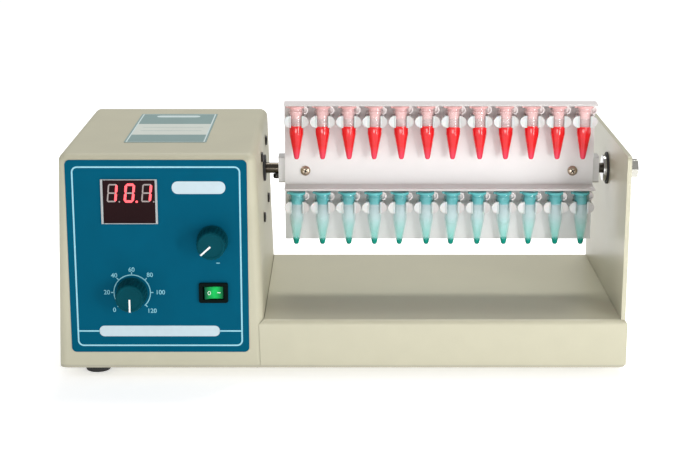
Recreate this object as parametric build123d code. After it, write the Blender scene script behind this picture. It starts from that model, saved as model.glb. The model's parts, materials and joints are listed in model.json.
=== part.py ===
from build123d import *
import math
import os

# Tube rotator: a drive housing, a low tray with an upright, and a rack of microtubes that turns between them.
# Millimetres. X runs along the rotor axis, from the drive housing to the upright. -Y is the front. Z is up.
# The origin is under the middle of the whole instrument, on the bench.

# ---- Base ----
body_length = 412.0
body_depth = 186.0
plate_thick = 2.0
plate_corner = 6.0
foot_height = 8.0
foot_radius = 10.0
foot_taper = 1.5
foot_sides = 16
base_screw = 3.0
left_foot_inset = (25.3, 21.0)
right_foot_inset = (26.0, 46.0)

# ---- Drive housing: a moulded shell with drafted sides ----
housing_width = 150.0
housing_height = 156.5
housing_wall = 3.0
side_draft = 1.93
housing_round = 6.0
corner_boss_half = 4.5
corner_boss_height = 16.0
boss_bite = 1.2

# ---- Tray and upright ----
tray_height = 33.8
tray_sheet = 1.5
tray_round = 4.0
tray_lip = 14.0
tray_seam = 0.4
upright_thick = 3.0
upright_over_axis = 27.0
upright_front_inset = 1.5
upright_round = 3.0
tongue_inset = 16.0
tongue_drop = 24.0
tongue_room = 4.5
upright_screw = 4.0
upright_screw_drop = 14.4
tray_screw_shares = (-0.4, 0.38)

# ---- Control panel ----
panel_side_margin = 10.75
panel_top_margin = 4.4
panel_thick = 1.0
panel_proud = 0.4
panel_corner = 3.5
panel_shift = -0.85
panel_lift = 10.1
left_column = -19.3
right_column = 39.2
lower_row = -26.1
speed_row = 12.4
display_row = 41.0

# ---- Display ----
display_width = 36.9
display_height = 31.2
led_height = 19.6
led_depth = 8.0
bezel_side = 1.6
bezel_edge = 0.6
bezel_proud = 0.9
display_recess = 0.4
blank_recess = 0.6
board_thick = 1.6
board_margin = 4.5
board_post_half = 2.6

# ---- Rocker switch ----
switch_width = 21.0
switch_height = 15.0
switch_flange = 2.0
switch_flange_corner = 1.0
switch_body_width = 19.0
switch_body_height = 13.0
switch_body_depth = 17.0
rocker_half = 6.2
rocker_height = 9.2
rocker_rise = 2.0
rocker_dish = 1.3
rocker_pivot_depth = 1.4
rocker_back = 5.0
rocker_throw = 8.0
terminal_length = 7.0
terminal_size = (4.8, 0.8)
terminal_reach = 6.0

# ---- Knobs, potentiometer and timer ----
knob_radius = 11.3
knob_height = 16.5
knob_gap = 0.5
knob_hollow_radius = 9.0
knob_hollow_depth = 4.0
knob_top_radius = 10.3
knob_flutes = 18
knob_edge = 1.2
knob_bore_depth = 12.5
spindle_radius = 3.0
pointer_width = 1.2
pointer_depth = 0.5
pointer_length = 8.6
bush_radius = 4.5
bush_length = 6.5
nut_across_flats = 12.0
nut_height = 2.0
pot_radius = 12.0
pot_depth = 17.0
pot_bore = 13.0
pot_spindle_reach = 12.0
timer_size = 52.0
timer_depth = 30.0
timer_corner = 4.0
timer_bore = 12.0
timer_spindle_reach = 11.0
timer_bush_radius = 5.0
timer_nut_across_flats = 14.0
timer_rest_angle = 180.0
speed_rest_angle = 228.0

# ---- Rotor line ----
axis_depth = 91.0
axis_drop = 29.5
shaft_radius = 4.0
seal_radius = 10.0
shaft_hole_radius = 7.0
seal_proud = 1.6
shaft_tail = 22.0

# ---- Gearmotor ----
gearbox_depth = 76.0
gearbox_height = 57.0
gearbox_length = 28.0
gearbox_round = 5.0
gearbox_shift = (9.5, -10.0)
gearbox_bolts = (65.0, 46.0)
gearbox_bore = 24.0
motor_boss_length = 3.0
motor_boss_half = 5.5
motor_radius = 22.0
motor_length = 46.0
motor_cap_radius = 19.0
motor_cap_length = 6.0
motor_screw = 4.0
motor_screw_grip = 14.0
spotface_radius = 5.5
spotface_depth = 0.8

# ---- Tube rack ----
rack_gap = 12.45
rack_half = 53.4
rack_sheet = 1.5
rack_bend = 2.5
channel_drop = 12.2
channel_depth = 17.0
rack_front_depth = 80.5
block_length = 28.0
block_height = 20.0
block_thick = 15.0
block_overhang = 5.0
rack_screw = 4.0
rack_screw_inset = 15.5
rack_screw_grip = 11.0
drive_screw = 3.0
drive_seat = 1.2
drive_notch = 1.5
block_edge = 1.0
shaft_engagement = 17.0

# ---- Tubes and clips ----
tube_count = 12
tube_end_margin = 9.05
tube_standoff = 8.5
tube_sides = 8
tube_radius = 5.4
tube_wall = 1.0
tube_length = 39.0
tube_cone = 18.0
tube_tip_radius = 1.9
cap_radius = 6.5
cap_thick = 2.0
cap_plug = 4.0
cap_clear = 0.1
upper_cap_gap = 0.3
lower_cap_gap = 2.1
clip_height = 9.0
clip_drop = 11.8
clip_wall = 1.4
clip_clear = 0.1
clip_mouth = 7.8
clip_ear_span = 18.9
clip_ear_thick = 2.0

# ---- Free-end pivot ----
pivot_bolt_size = 8.0
pivot_head_across_flats = 13.0
pivot_head_height = 5.8
pivot_reach = 18.6
pivot_engagement = 9.0
bearing_radius = 6.0
bearing_length = 12.0
pivot_flange_radius = 10.0
pivot_flange_thick = 2.8
pivot_body_radius = 7.0
pivot_body_proud = 1.2
gasket_radius = 12.2
gasket_thick = 1.2

# ---- Mains parts, transformer and control board ----
inlet_flange = (50.0, 23.0)
inlet_flange_thick = 2.5
inlet_flange_corner = 3.0
inlet_body = (27.2, 19.6)
inlet_body_depth = 22.0
inlet_recess = (24.0, 16.6)
inlet_recess_depth = 19.0
inlet_key = 3.5
inlet_bolts = 40.0
inlet_screw = 3.0
inlet_pin = (4.0, 2.0)
inlet_pin_length = 12.5
inlet_pin_places = ((-7.0, -2.0), (0.0, 2.0), (7.0, -2.0))
inlet_shift = (-22.0, 26.0)
fuse_shift = (34.0, 26.0)
fuse_body_radius = 6.2
fuse_body_depth = 32.0
fuse_flange_radius = 9.0
fuse_flange_thick = 2.0
fuse_slot = (10.0, 1.2, 1.5)
fuse_cap_radius = 7.5
fuse_reach = 11.0
core_size = (57.0, 19.0, 48.0)
coil_size = (37.0, 40.0, 31.0)
transformer_inset = (16.0, 50.0)
core_foot = 8.0
core_foot_thick = 2.0
coil_corner = 4.0
board_size = (84.0, 56.0)
board_inset = (30.0, 20.0)
spacer_height = 8.0
spacer_radius = 3.0
board_hole_inset = 4.0
board_cans = ((-26.0, 10.0, 8.0, 20.0), (-8.0, 12.0, 5.0, 14.0))
board_blocks = ((-9.0, -19.0, 30.0, 10.0, 10.0), (27.0, 5.0, 14.0, 22.0, 20.0))

# ---- Top label ----
label_width = 60.0
label_depth = 115.0
label_thick = 0.4
label_corner = 1.5
label_front_inset = 40.0
label_shift = 1.8

# ---- Fits ----
running_clear = 0.05
slip_clear = 0.2
screw_clear = 0.2
seat_gap = 0.3

# ---- Screws ----
screw_sides = 6
hole_sides = 12
head_share = 0.95
head_height_share = 0.6
screw_end_gap = 1.0

# ---- Working allowance for cuts ----
over = 1.0

# ---- Derived planes and places ----
left_x = -(body_length + pivot_reach) / 2
right_x = left_x + body_length
knob_reach = panel_proud + knob_gap + knob_height
front_y = -(body_depth + knob_reach + fuse_reach) / 2 + knob_reach
back_y = front_y + body_depth
base_top = foot_height + plate_thick
housing_x = left_x + housing_width / 2
housing_top = base_top + housing_height
deck_top = base_top + tray_height
upright_outer_x = right_x - tray_sheet
upright_inner_x = upright_outer_x - upright_thick
axis_y = front_y + axis_depth
axis_z = housing_top - axis_drop
upright_top = axis_z + upright_over_axis
upright_screw_z = deck_top - upright_screw_drop
panel_width = housing_width - 2 * panel_side_margin
panel_height = housing_height - panel_lift - panel_top_margin
panel_x = housing_x + panel_shift
panel_z = base_top + panel_lift + panel_height / 2
panel_front_y = front_y - panel_proud
panel_back_y = panel_front_y + panel_thick
inner_front_y = front_y + housing_wall
timer_x = panel_x + left_column
timer_z = panel_z + lower_row
speed_x = panel_x + right_column
speed_z = panel_z + speed_row
switch_x = speed_x
switch_z = timer_z
display_x = timer_x
display_z = panel_z + display_row
led_z = display_z + (display_height - led_height) / 2
rack_left = left_x + housing_width + rack_gap
rack_right = upright_inner_x - rack_gap
rack_length = rack_right - rack_left
rack_front_y = front_y + rack_front_depth
rack_back_y = rack_front_y + 2 * rack_sheet
rack_top = axis_z + rack_half
rack_bottom = axis_z - rack_half
channel_bottom = axis_z - channel_drop
tube_pitch = (rack_length - 2 * tube_end_margin) / (tube_count - 1)
upper_tube_y = rack_front_y - tube_standoff
lower_tube_y = upper_tube_y + rack_sheet
upper_cap_top = rack_top - rack_sheet - upper_cap_gap
lower_cap_top = channel_bottom - lower_cap_gap
left_block_x = rack_left - block_overhang
right_block_x = rack_right + block_overhang
gearbox_y = axis_y + gearbox_shift[0]
gearbox_z = axis_z + gearbox_shift[1]
transformer_x = left_x + housing_wall + transformer_inset[0] + core_size[0] / 2
transformer_y = back_y - transformer_inset[1]
board_x = left_x + board_inset[0] + board_size[0] / 2
board_y = front_y + board_inset[1] + board_size[1] / 2
board_z = base_top + spacer_height
inlet_x = housing_x + inlet_shift[0]
inlet_z = base_top + inlet_shift[1]
fuse_x = housing_x + fuse_shift[0]
fuse_z = base_top + fuse_shift[1]


def housing_half_width(z):
    """Half the housing's outer width at height z."""
    return housing_width / 2 - (z - base_top) * math.tan(math.radians(side_draft))


gearbox_face_x = housing_x + housing_half_width(housing_top) - housing_wall - motor_boss_length


# ---- General shapes ----
def block(x_span, y_span, z_span):
    """A box between three pairs of coordinates."""
    spans = (x_span, y_span, z_span)
    size = [high - low for low, high in spans]
    middle = [(low + high) / 2 for low, high in spans]
    return Pos(*middle) * Box(*size)


def rod_x(x_low, x_high, y, z, radius):
    """A cylinder along X."""
    column = Cylinder(radius, x_high - x_low, align=(Align.CENTER, Align.CENTER, Align.MIN))
    return Pos(x_low, y, z) * Rot(0, 90, 0) * column


def rod_y(x, y_low, y_high, z, radius):
    """A cylinder along Y."""
    column = Cylinder(radius, y_high - y_low, align=(Align.CENTER, Align.CENTER, Align.MIN))
    return Pos(x, y_low, z) * Rot(-90, 0, 0) * column


def facing_front(sketch, y_low, y_high):
    """A sketch drawn in X and Z, made solid between two depths."""
    return extrude(Plane.XZ.offset(-y_high) * sketch, y_high - y_low)


def facing_side(sketch, x_low, x_high):
    """A sketch drawn in Y and Z, made solid between two X positions."""
    return extrude(Plane.YZ.offset(x_low) * sketch, x_high - x_low)


def corner_radius(radius, sides):
    """The corner radius of a regular outline whose flats stand at a radius."""
    return radius / math.cos(math.pi / sides)


def faceted(outline, sides):
    """A profile of radius and height carried round Z as flat faces; it meets the axis only at flat ends."""
    turns = [(2 * index - 1) * math.pi / sides for index in range(sides + 1)]

    def ring(radius, z):
        return [(radius * math.cos(turn), radius * math.sin(turn), z) for turn in turns]

    faces = []
    for (r_low, z_low), (r_high, z_high) in zip(outline, outline[1:] + outline[:1]):
        low, high = ring(r_low, z_low), ring(r_high, z_high)
        if r_low > 0 and r_high > 0:
            for index in range(sides):
                corners = [low[index], low[index + 1], high[index + 1], high[index]]
                faces.append(Face(Wire.make_polygon(corners)))
        elif r_low > 0 or r_high > 0:
            end = low if r_low > 0 else high
            faces.append(Face(Wire.make_polygon(end[:sides])))
    return Solid(Shell(faces))


def screw_hole(size, depth):
    """A clearance hole for a screw, downwards and upwards from the origin along Z."""
    radius = size / 2 + screw_clear
    return faceted([(0, depth), (radius, depth), (radius, -depth), (0, -depth)], screw_sides)


def along_x(x, y, z):
    """Place a shape so that its +Z points along +X."""
    return Pos(x, y, z) * Rot(0, 90, 0)


def along_y(x, y, z):
    """Place a shape so that its +Z points along +Y, to the rear."""
    return Pos(x, y, z) * Rot(-90, 0, 0)


def against_y(x, y, z):
    """Place a shape so that its +Z points along -Y, to the front."""
    return Pos(x, y, z) * Rot(90, 0, 0)


def upright_screws():
    """Three screws through the tray's end apron into the upright's tongue."""
    screw = pan_screw(upright_screw, tray_sheet + upright_thick)
    return [along_x(right_x, y, upright_screw_z) * screw for y in upright_screw_rows()]


def bushed(body, x, z, radius, bore_depth):
    """A mechanism's body with its threaded bush forward through the wall, bored for a spindle."""
    place = along_y(x, inner_front_y, z)
    bush = place * faceted([(0, 0), (radius, 0), (radius, -bush_length), (0, -bush_length)], hole_sides)
    bore_start = inner_front_y - bush_length - over
    bore = rod_y(x, bore_start, inner_front_y + bore_depth, z, spindle_radius + running_clear)
    return body + bush - bore


def drive_screw_body():
    """A screw in the underside of the shaft, whose head keys the rack to the shaft."""
    head_radius = drive_screw * head_share
    seat = shaft_radius + drive_seat
    outline = [(0, 0), (drive_screw / 2, 0), (drive_screw / 2, -seat), (head_radius, -seat)]
    outline += [(head_radius, -seat - drive_screw), (0, -seat - drive_screw)]
    return Pos(drive_screw_x(), axis_y, axis_z) * faceted(outline, screw_sides)


def plug_hole(radius, depth, sides):
    """A hole around a round piece, as flat faces that touch its radius, centred on the origin along Z."""
    reach = corner_radius(radius, sides)
    return faceted([(0, depth), (reach, depth), (reach, -depth), (0, -depth)], sides)


def timer_hole():
    return plug_hole(timer_bush_radius + slip_clear, 2 * housing_wall, hole_sides)


def speed_hole():
    return plug_hole(bush_radius + slip_clear, 2 * housing_wall, hole_sides)


def pan_screw(size, grip):
    """A screw with its seat at the origin, its low head above and its shank below."""
    head_radius = size * head_share
    outline = [(0, size * head_height_share), (head_radius, size * head_height_share), (head_radius, 0)]
    outline += [(size / 2, 0), (size / 2, -grip), (0, -grip)]
    return faceted(outline, screw_sides)


def hex_nut(across_flats, height, bore_radius):
    """A hexagon nut on the XY plane."""
    hexagon = RegularPolygon(across_flats / 2, 6, major_radius=False)
    bore = RegularPolygon(bore_radius, hole_sides, major_radius=False)
    return extrude(hexagon - bore, height)


def save(name, shape):
    """Write one node, as one solid or as a group of separate solids."""
    body = Compound(children=shape) if isinstance(shape, list) else shape
    export_step(body, os.path.join("parts", name + ".step"))


# ---- Base plate and feet ----
def foot_centres():
    """The four feet: a wide pair under the housing and a deeper pair under the tray."""
    left_dx, left_dy = left_foot_inset
    right_dx, right_dy = right_foot_inset
    return {
        "foot_front_left": (left_x + left_dx, front_y + left_dy),
        "foot_rear_left": (left_x + left_dx, back_y - left_dy),
        "foot_front_right": (right_x - right_dx, front_y + right_dy),
        "foot_rear_right": (right_x - right_dx, back_y - right_dy),
    }


def housing_screw_points():
    """The four screws that hold the base plate to the housing's corner bosses."""
    inset = housing_wall + corner_boss_half - boss_bite
    reach_x = housing_width / 2 - inset
    return [
        (housing_x + side * reach_x, y)
        for side in (-1, 1)
        for y in (front_y + inset, back_y - inset)
    ]


def tray_screw_points():
    """The four screws that hold the base plate to the tray's lips."""
    span = right_x - left_x - housing_width
    middle = left_x + housing_width + span / 2
    lip_middle = tray_sheet + tray_lip / 2
    return [
        (middle + share * span, y)
        for share in tray_screw_shares
        for y in (front_y + lip_middle, back_y - lip_middle)
    ]


def base_plate():
    outline = RectangleRounded(body_length, body_depth, plate_corner)
    centre = Pos((left_x + right_x) / 2, (front_y + back_y) / 2, foot_height)
    plate = centre * extrude(outline, plate_thick)
    for x, y in housing_screw_points() + tray_screw_points():
        plate -= Pos(x, y, foot_height) * screw_hole(base_screw, 2 * plate_thick)
    return plate


def foot(x, y):
    """A rubber foot, narrower at the bench, glued under the base plate."""
    outline = [
        (0, foot_height),
        (foot_radius, foot_height),
        (foot_radius - foot_taper, 0),
        (0, 0),
    ]
    return Pos(x, y, 0) * faceted(outline, foot_sides)


def screw_from_below(x, y, seat_z, size, grip):
    return Pos(x, y, seat_z) * Rot(180, 0, 0) * pan_screw(size, grip)


# ---- Drive housing ----
def housing_form(inset, z_low, z_high, round_radius):
    """The housing's drafted block, inset all round, with its upper and upright edges rounded."""
    low = housing_half_width(z_low) - inset
    high = housing_half_width(z_high) - inset
    corners = [
        (housing_x - low, z_low),
        (housing_x + low, z_low),
        (housing_x + high, z_high),
        (housing_x - high, z_high),
    ]
    profile = make_face(Polyline(*corners, close=True))
    form = facing_front(profile, front_y + inset, back_y - inset)
    upper = form.edges().filter_by(lambda edge: edge.center().Z > z_low + over)
    return fillet(upper, round_radius)


def motor_screw_points():
    """The four gearbox screws on the housing's right wall, as Y and Z."""
    half_y = gearbox_bolts[0] / 2
    half_z = gearbox_bolts[1] / 2
    return [(gearbox_y + dy * half_y, gearbox_z + dz * half_z) for dy in (-1, 1) for dz in (-1, 1)]


def motor_screw_seat(z):
    """The plane of a gearbox screw's seat on the drafted wall."""
    return housing_x + housing_half_width(z) - spotface_depth


def display_post_points():
    reach_x = display_width / 2 + board_margin
    reach_z = display_height / 2 - board_post_half
    return [(display_x + sx * reach_x, display_z + sz * reach_z) for sx in (-1, 1) for sz in (-1, 1)]


def housing_openings():
    """Everything that goes through the housing's walls."""
    wall_y = (front_y - over, inner_front_y + over)
    rear_y = (back_y - housing_wall - over, back_y + over)
    panel_seat = RectangleRounded(panel_width + slip_clear, panel_height + slip_clear, panel_corner)
    display_hole = Rectangle(display_width + slip_clear, display_height + slip_clear)
    switch_hole = Rectangle(switch_body_width + slip_clear, switch_body_height + slip_clear)
    inlet_hole = Rectangle(inlet_body[0] + slip_clear, inlet_body[1] + slip_clear)
    shaft_hole = plug_hole(shaft_hole_radius, right_x - gearbox_face_x - over, foot_sides)
    shaft_hole = along_x(right_x, axis_y, axis_z) * shaft_hole
    cuts = [
        facing_front(Pos(panel_x, panel_z) * panel_seat, front_y - over, panel_back_y),
        facing_front(Pos(display_x, display_z) * display_hole, *wall_y),
        facing_front(Pos(switch_x, switch_z) * switch_hole, *wall_y),
        along_y(timer_x, inner_front_y, timer_z) * timer_hole(),
        along_y(speed_x, inner_front_y, speed_z) * speed_hole(),
        facing_front(Pos(inlet_x, inlet_z) * inlet_hole, *rear_y),
        along_y(fuse_x, back_y, fuse_z) * plug_hole(fuse_body_radius, 2 * housing_wall, hole_sides),
        shaft_hole,
    ]
    for side in (-1, 1):
        ear_x = inlet_x + side * inlet_bolts / 2
        cuts.append(along_y(ear_x, back_y, inlet_z) * screw_hole(inlet_screw, 2 * housing_wall))
    seat = [(0, 0), (spotface_radius, 0), (spotface_radius, housing_wall), (0, housing_wall)]
    head_room = faceted(seat, screw_sides)
    for y, z in motor_screw_points():
        seat_x = motor_screw_seat(z)
        cuts.append(along_x(seat_x, y, z) * head_room)
        cuts.append(along_x(seat_x, y, z) * screw_hole(motor_screw, seat_x - gearbox_face_x + over))
    for x, y in housing_screw_points():
        hole_top = base_top + corner_boss_height - housing_wall
        cuts.append(Pos(x, y, base_top) * screw_hole(base_screw, hole_top - base_top))
    return cuts


def housing_shell():
    outer = housing_form(0, base_top, housing_top, housing_round)
    bottom = base_top - over
    low = housing_half_width(bottom) - housing_wall
    high = housing_half_width(housing_top) - housing_wall
    ceiling = housing_top - housing_wall
    corners = [
        (housing_x - low, bottom),
        (housing_x + low, bottom),
        (housing_x + high, ceiling),
        (housing_x - high, ceiling),
    ]
    cavity = facing_front(make_face(Polyline(*corners, close=True)), inner_front_y, back_y - housing_wall)
    half = corner_boss_half
    boss_top = base_top + corner_boss_height
    bosses = [
        block((x - half, x + half), (y - half, y + half), (base_top, boss_top))
        for x, y in housing_screw_points()
    ]
    half = motor_boss_half
    for y, z in motor_screw_points():
        pad_x = (gearbox_face_x, motor_screw_seat(z))
        bosses.append(block(pad_x, (y - half, y + half), (z - half, z + half)))
    half = board_post_half
    for x, z in display_post_points():
        post_y = (inner_front_y - over, display_board_y())
        bosses.append(block((x - half, x + half), post_y, (z - half, z + half)))
    shell = outer - cavity
    for boss in bosses:
        shell += boss & outer
    for cut in housing_openings():
        shell -= cut
    return shell


# ---- Tray and upright ----
def tray():
    """A folded sheet tray: deck, front, rear and end aprons, and lips for the base plate's screws."""
    start = housing_x
    centre_y = (front_y + back_y) / 2
    length = right_x - start
    outer = Box(length, body_depth, tray_height)
    outer = Pos(start + length / 2, centre_y, base_top + tray_height / 2) * outer
    bends = outer.edges().filter_by(lambda edge: edge.center().Z > deck_top - over)
    outer = fillet(bends.filter_by(lambda edge: edge.center().X > start + over), tray_round)
    hollow_x = (start - over, right_x - tray_sheet)
    hollow_y = (front_y + tray_sheet, back_y - tray_sheet)
    folded = outer - block(hollow_x, hollow_y, (base_top - over, deck_top - tray_sheet))
    lip_z = (base_top, base_top + tray_sheet)
    lip_x = (start, right_x - tray_round - tongue_room)
    folded += block(lip_x, (front_y + tray_sheet / 2, front_y + tray_sheet + tray_lip), lip_z)
    folded += block(lip_x, (back_y - tray_sheet - tray_lip, back_y - tray_sheet / 2), lip_z)
    folded -= housing_form(-tray_seam, base_top - over, housing_top, housing_round)
    for x, y in tray_screw_points():
        folded -= Pos(x, y, base_top) * screw_hole(base_screw, 2 * tray_sheet)
    slot_x = (upright_inner_x - slip_clear, upright_outer_x)
    slot_y = (front_y + tongue_inset - slip_clear, back_y - tongue_inset + slip_clear)
    folded -= block(slot_x, slot_y, (deck_top - tray_sheet - over, deck_top + over))
    for y in upright_screw_rows():
        folded -= along_x(right_x, y, upright_screw_z) * screw_hole(upright_screw, 2 * tray_sheet)
    return folded


def upright_screw_rows():
    centre_y = (front_y + back_y) / 2
    reach = body_depth / 2 - tongue_inset * 2
    return [centre_y - reach, centre_y, centre_y + reach]


def upright():
    """The end plate: it stands on the deck and a tongue goes down inside the tray's end apron."""
    depth = body_depth - 2 * upright_front_inset
    centre_y = (front_y + back_y) / 2
    blade = Pos(centre_y, (deck_top + upright_top) / 2) * Rectangle(depth, upright_top - deck_top)
    upper = blade.vertices().sort_by(Axis.Y)[-2:]
    blade = fillet(upper, upright_round)
    tongue_depth = body_depth - 2 * tongue_inset
    blade += Pos(centre_y, deck_top - tongue_drop / 2) * Rectangle(tongue_depth, tongue_drop)
    plate = facing_side(blade, upright_inner_x, upright_outer_x)
    bush_hole = plug_hole(pivot_body_radius, 2 * upright_thick, foot_sides)
    plate -= along_x(upright_outer_x, axis_y, axis_z) * bush_hole
    for y in upright_screw_rows():
        plate -= along_x(upright_outer_x, y, upright_screw_z) * screw_hole(upright_screw, 2 * upright_thick)
    return plate


# ---- Control panel ----
def control_panel():
    outline = Pos(panel_x, panel_z) * RectangleRounded(panel_width, panel_height, panel_corner)
    sheet = facing_front(outline, panel_front_y, panel_back_y)
    through = (panel_front_y - over, panel_back_y + over)
    display_hole = Rectangle(display_width + slip_clear, display_height + slip_clear)
    switch_hole = Rectangle(switch_body_width + slip_clear, switch_body_height + slip_clear)
    sheet -= facing_front(Pos(display_x, display_z) * display_hole, *through)
    sheet -= facing_front(Pos(switch_x, switch_z) * switch_hole, *through)
    sheet -= along_y(timer_x, panel_back_y, timer_z) * timer_hole()
    return sheet - along_y(speed_x, panel_back_y, speed_z) * speed_hole()


def display_face_y():
    """The front face of the display module, just behind its bezel's front."""
    return panel_front_y - bezel_proud + display_recess


def display_board_y():
    return display_face_y() + led_depth


def display_bezel():
    """A pale frame on the panel round the display window."""
    outer = Rectangle(display_width + 2 * bezel_side, display_height + 2 * bezel_edge)
    window = Rectangle(display_width + slip_clear, display_height + slip_clear)
    frame = Pos(display_x, display_z) * (outer - window)
    return facing_front(frame, panel_front_y - bezel_proud, panel_front_y)


def display_module():
    """The three-digit light-emitting module, in the upper part of the window."""
    face = Pos(display_x, led_z) * Rectangle(display_width, led_height)
    return facing_front(face, display_face_y(), display_board_y())


def display_blank():
    """A dark filler strip below the module."""
    height = display_height - led_height - seat_gap
    face = Pos(display_x, display_z - display_height / 2 + height / 2) * Rectangle(display_width, height)
    return facing_front(face, display_face_y() + blank_recess, display_board_y())


def display_board():
    width = display_width + 2 * (board_margin + board_post_half)
    outline = Pos(display_x, display_z) * Rectangle(width, display_height)
    return facing_front(outline, display_board_y(), display_board_y() + board_thick)


# ---- Rocker switch ----
def rocker_pivot_y():
    return panel_front_y - switch_flange + rocker_rise + rocker_pivot_depth


def rocker_radius():
    return math.hypot(rocker_half, rocker_rise + rocker_pivot_depth)


def switch_body():
    """The switch housing: a flange on the panel and a body behind it, hollow for the rocker."""
    flange = Rectangle(switch_width, switch_height)
    flange = chamfer(flange.vertices(), switch_flange_corner)
    body = Rectangle(switch_body_width, switch_body_height)
    place = Pos(switch_x, switch_z)
    shell = facing_front(place * flange, panel_front_y - switch_flange, panel_front_y)
    shell += facing_front(place * body, panel_front_y, panel_front_y + switch_body_depth)
    well = Rectangle(2 * rocker_radius() + 2 * slip_clear, rocker_height + 2 * slip_clear)
    well_floor = rocker_pivot_y() + rocker_radius() + slip_clear
    return shell - facing_front(place * well, panel_front_y - switch_flange - over, well_floor)


def switch_terminals():
    start = panel_front_y + switch_body_depth
    half_width, half_thick = terminal_size[0] / 2, terminal_size[1] / 2
    z_span = (switch_z - half_thick, switch_z + half_thick)
    return [
        block((x - half_width, x + half_width), (start, start + terminal_length), z_span)
        for x in (switch_x - terminal_reach, switch_x + terminal_reach)
    ]


def power_rocker():
    """The rocker: a dished front on a round flank, so that it turns inside its well."""
    front = -(rocker_rise + rocker_pivot_depth)
    dish = front + rocker_dish
    flank = rocker_radius() + over
    corners = [
        (-rocker_half, front),
        (0, dish),
        (rocker_half, front),
        (flank, front + over),
        (flank, rocker_back),
        (-flank, rocker_back),
        (-flank, front + over),
    ]
    section = make_face(Polyline(*corners, close=True)) & Circle(rocker_radius())
    prism = extrude(section, rocker_height / 2, both=True)
    return Pos(switch_x, rocker_pivot_y(), switch_z) * Rot(0, 0, rocker_throw) * prism


# ---- Knobs and their mechanisms ----
def knob(x, z, rest_angle):
    """A tapered knob with a hollow back; its pointer groove stands at rest_angle clockwise from the top."""
    outline = [
        (0, knob_hollow_depth),
        (knob_hollow_radius, knob_hollow_depth),
        (knob_hollow_radius, 0),
        (knob_radius, 0),
        (knob_top_radius, knob_height - knob_edge),
        (knob_top_radius - knob_edge, knob_height),
        (0, knob_height),
    ]
    body = faceted(outline, knob_flutes)
    body -= plug_hole(spindle_radius + running_clear, knob_bore_depth, hole_sides)
    half = pointer_width / 2
    body -= block((-half, half), (0, knob_radius + over), (knob_height - pointer_depth, knob_height + over))
    return Pos(x, panel_front_y - knob_gap, z) * Rot(0, rest_angle, 0) * Rot(90, 0, 0) * body


def pointer(x, z, rest_angle):
    """The white line laid in a knob's pointer groove."""
    half = pointer_width / 2
    line = block((-half, half), (0, pointer_length), (knob_height - pointer_depth, knob_height))
    return Pos(x, panel_front_y - knob_gap, z) * Rot(0, rest_angle, 0) * Rot(90, 0, 0) * line


def spindle(x, z, reach):
    """A control spindle from its mechanism, behind the front wall, to the end of its knob's bore."""
    nose_y = panel_front_y - knob_gap - knob_bore_depth + seat_gap
    return rod_y(x, nose_y, inner_front_y + reach, z, spindle_radius)


def speed_potentiometer():
    outline = [(0, pot_depth), (pot_radius, pot_depth), (pot_radius, 0), (0, 0)]
    can = along_y(speed_x, inner_front_y, speed_z) * faceted(outline, foot_sides)
    return bushed(can, speed_x, speed_z, bush_radius, pot_bore)


def timer_mechanism():
    """The clockwork timer: a movement in a box, and a threaded bush."""
    half = timer_size / 2
    outline = chamfer(Rectangle(timer_size, timer_size).vertices(), timer_corner)
    case = facing_front(Pos(timer_x, timer_z) * outline, inner_front_y, inner_front_y + timer_depth)
    return bushed(case, timer_x, timer_z, timer_bush_radius, timer_bore)


def panel_nut(x, z, across_flats, bore_radius):
    """A thin nut on the panel, hidden in a knob's hollow back."""
    return Pos(x, panel_front_y, z) * Rot(90, 0, 0) * hex_nut(across_flats, nut_height, bore_radius)


# ---- Gearmotor ----
def gearbox():
    outline = chamfer(Rectangle(gearbox_depth, gearbox_height).vertices(), gearbox_round)
    case = facing_side(Pos(gearbox_y, gearbox_z) * outline, gearbox_face_x - gearbox_length, gearbox_face_x)
    bore = shaft_radius + running_clear
    case -= rod_x(gearbox_face_x - gearbox_bore, gearbox_face_x + over, axis_y, axis_z, bore)
    for y, z in motor_screw_points():
        case -= along_x(gearbox_face_x, y, z) * screw_hole(motor_screw, motor_screw_grip)
    return case


def motor():
    front_x = gearbox_face_x - gearbox_length
    outline = [
        (0, 0),
        (motor_radius, 0),
        (motor_radius, -motor_length),
        (motor_cap_radius, -motor_length),
        (motor_cap_radius, -motor_length - motor_cap_length),
        (0, -motor_length - motor_cap_length),
    ]
    return along_x(front_x, gearbox_y, gearbox_z) * faceted(outline, foot_sides)


def motor_screws():
    screws = []
    for y, z in motor_screw_points():
        seat_x = motor_screw_seat(z)
        grip = seat_x - gearbox_face_x + motor_screw_grip - screw_end_gap
        screws.append(along_x(seat_x, y, z) * pan_screw(motor_screw, grip))
    return screws


def shaft_seal():
    """A ring on the housing's drafted wall that closes it round the shaft."""
    wall_x = housing_x + housing_half_width(axis_z - seal_radius)
    length = wall_x + seal_proud - gearbox_face_x
    bore = shaft_radius + seat_gap
    outline = [(bore, 0), (seal_radius, 0), (seal_radius, length), (bore, length)]
    ring = along_x(gearbox_face_x, axis_y, axis_z) * faceted(outline, foot_sides)
    return ring - housing_form(0, base_top, housing_top, housing_round)


# ---- Rotor ----
def rotor_shaft():
    shaft = rod_x(gearbox_face_x - shaft_tail, left_block_x + shaft_engagement, axis_y, axis_z, shaft_radius)
    radius, depth = drive_screw / 2, 2 * shaft_radius
    hole = faceted([(0, 0), (radius, 0), (radius, -depth), (0, -depth)], screw_sides)
    return shaft - Pos(drive_screw_x(), axis_y, axis_z) * hole


def drive_screw_x():
    """The drive screw stands in the shaft, half inside the left block's notch."""
    return left_block_x - drive_notch


def end_block(x_low, x_high):
    side_y = (rack_back_y, rack_back_y + block_thick)
    bar = block((x_low, x_high), side_y, (axis_z - block_height / 2, axis_z + block_height / 2))
    return chamfer(bar.edges().filter_by(Axis.X), block_edge)


def rack_screw_points():
    return [rack_left + rack_screw_inset, rack_right - rack_screw_inset]


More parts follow.
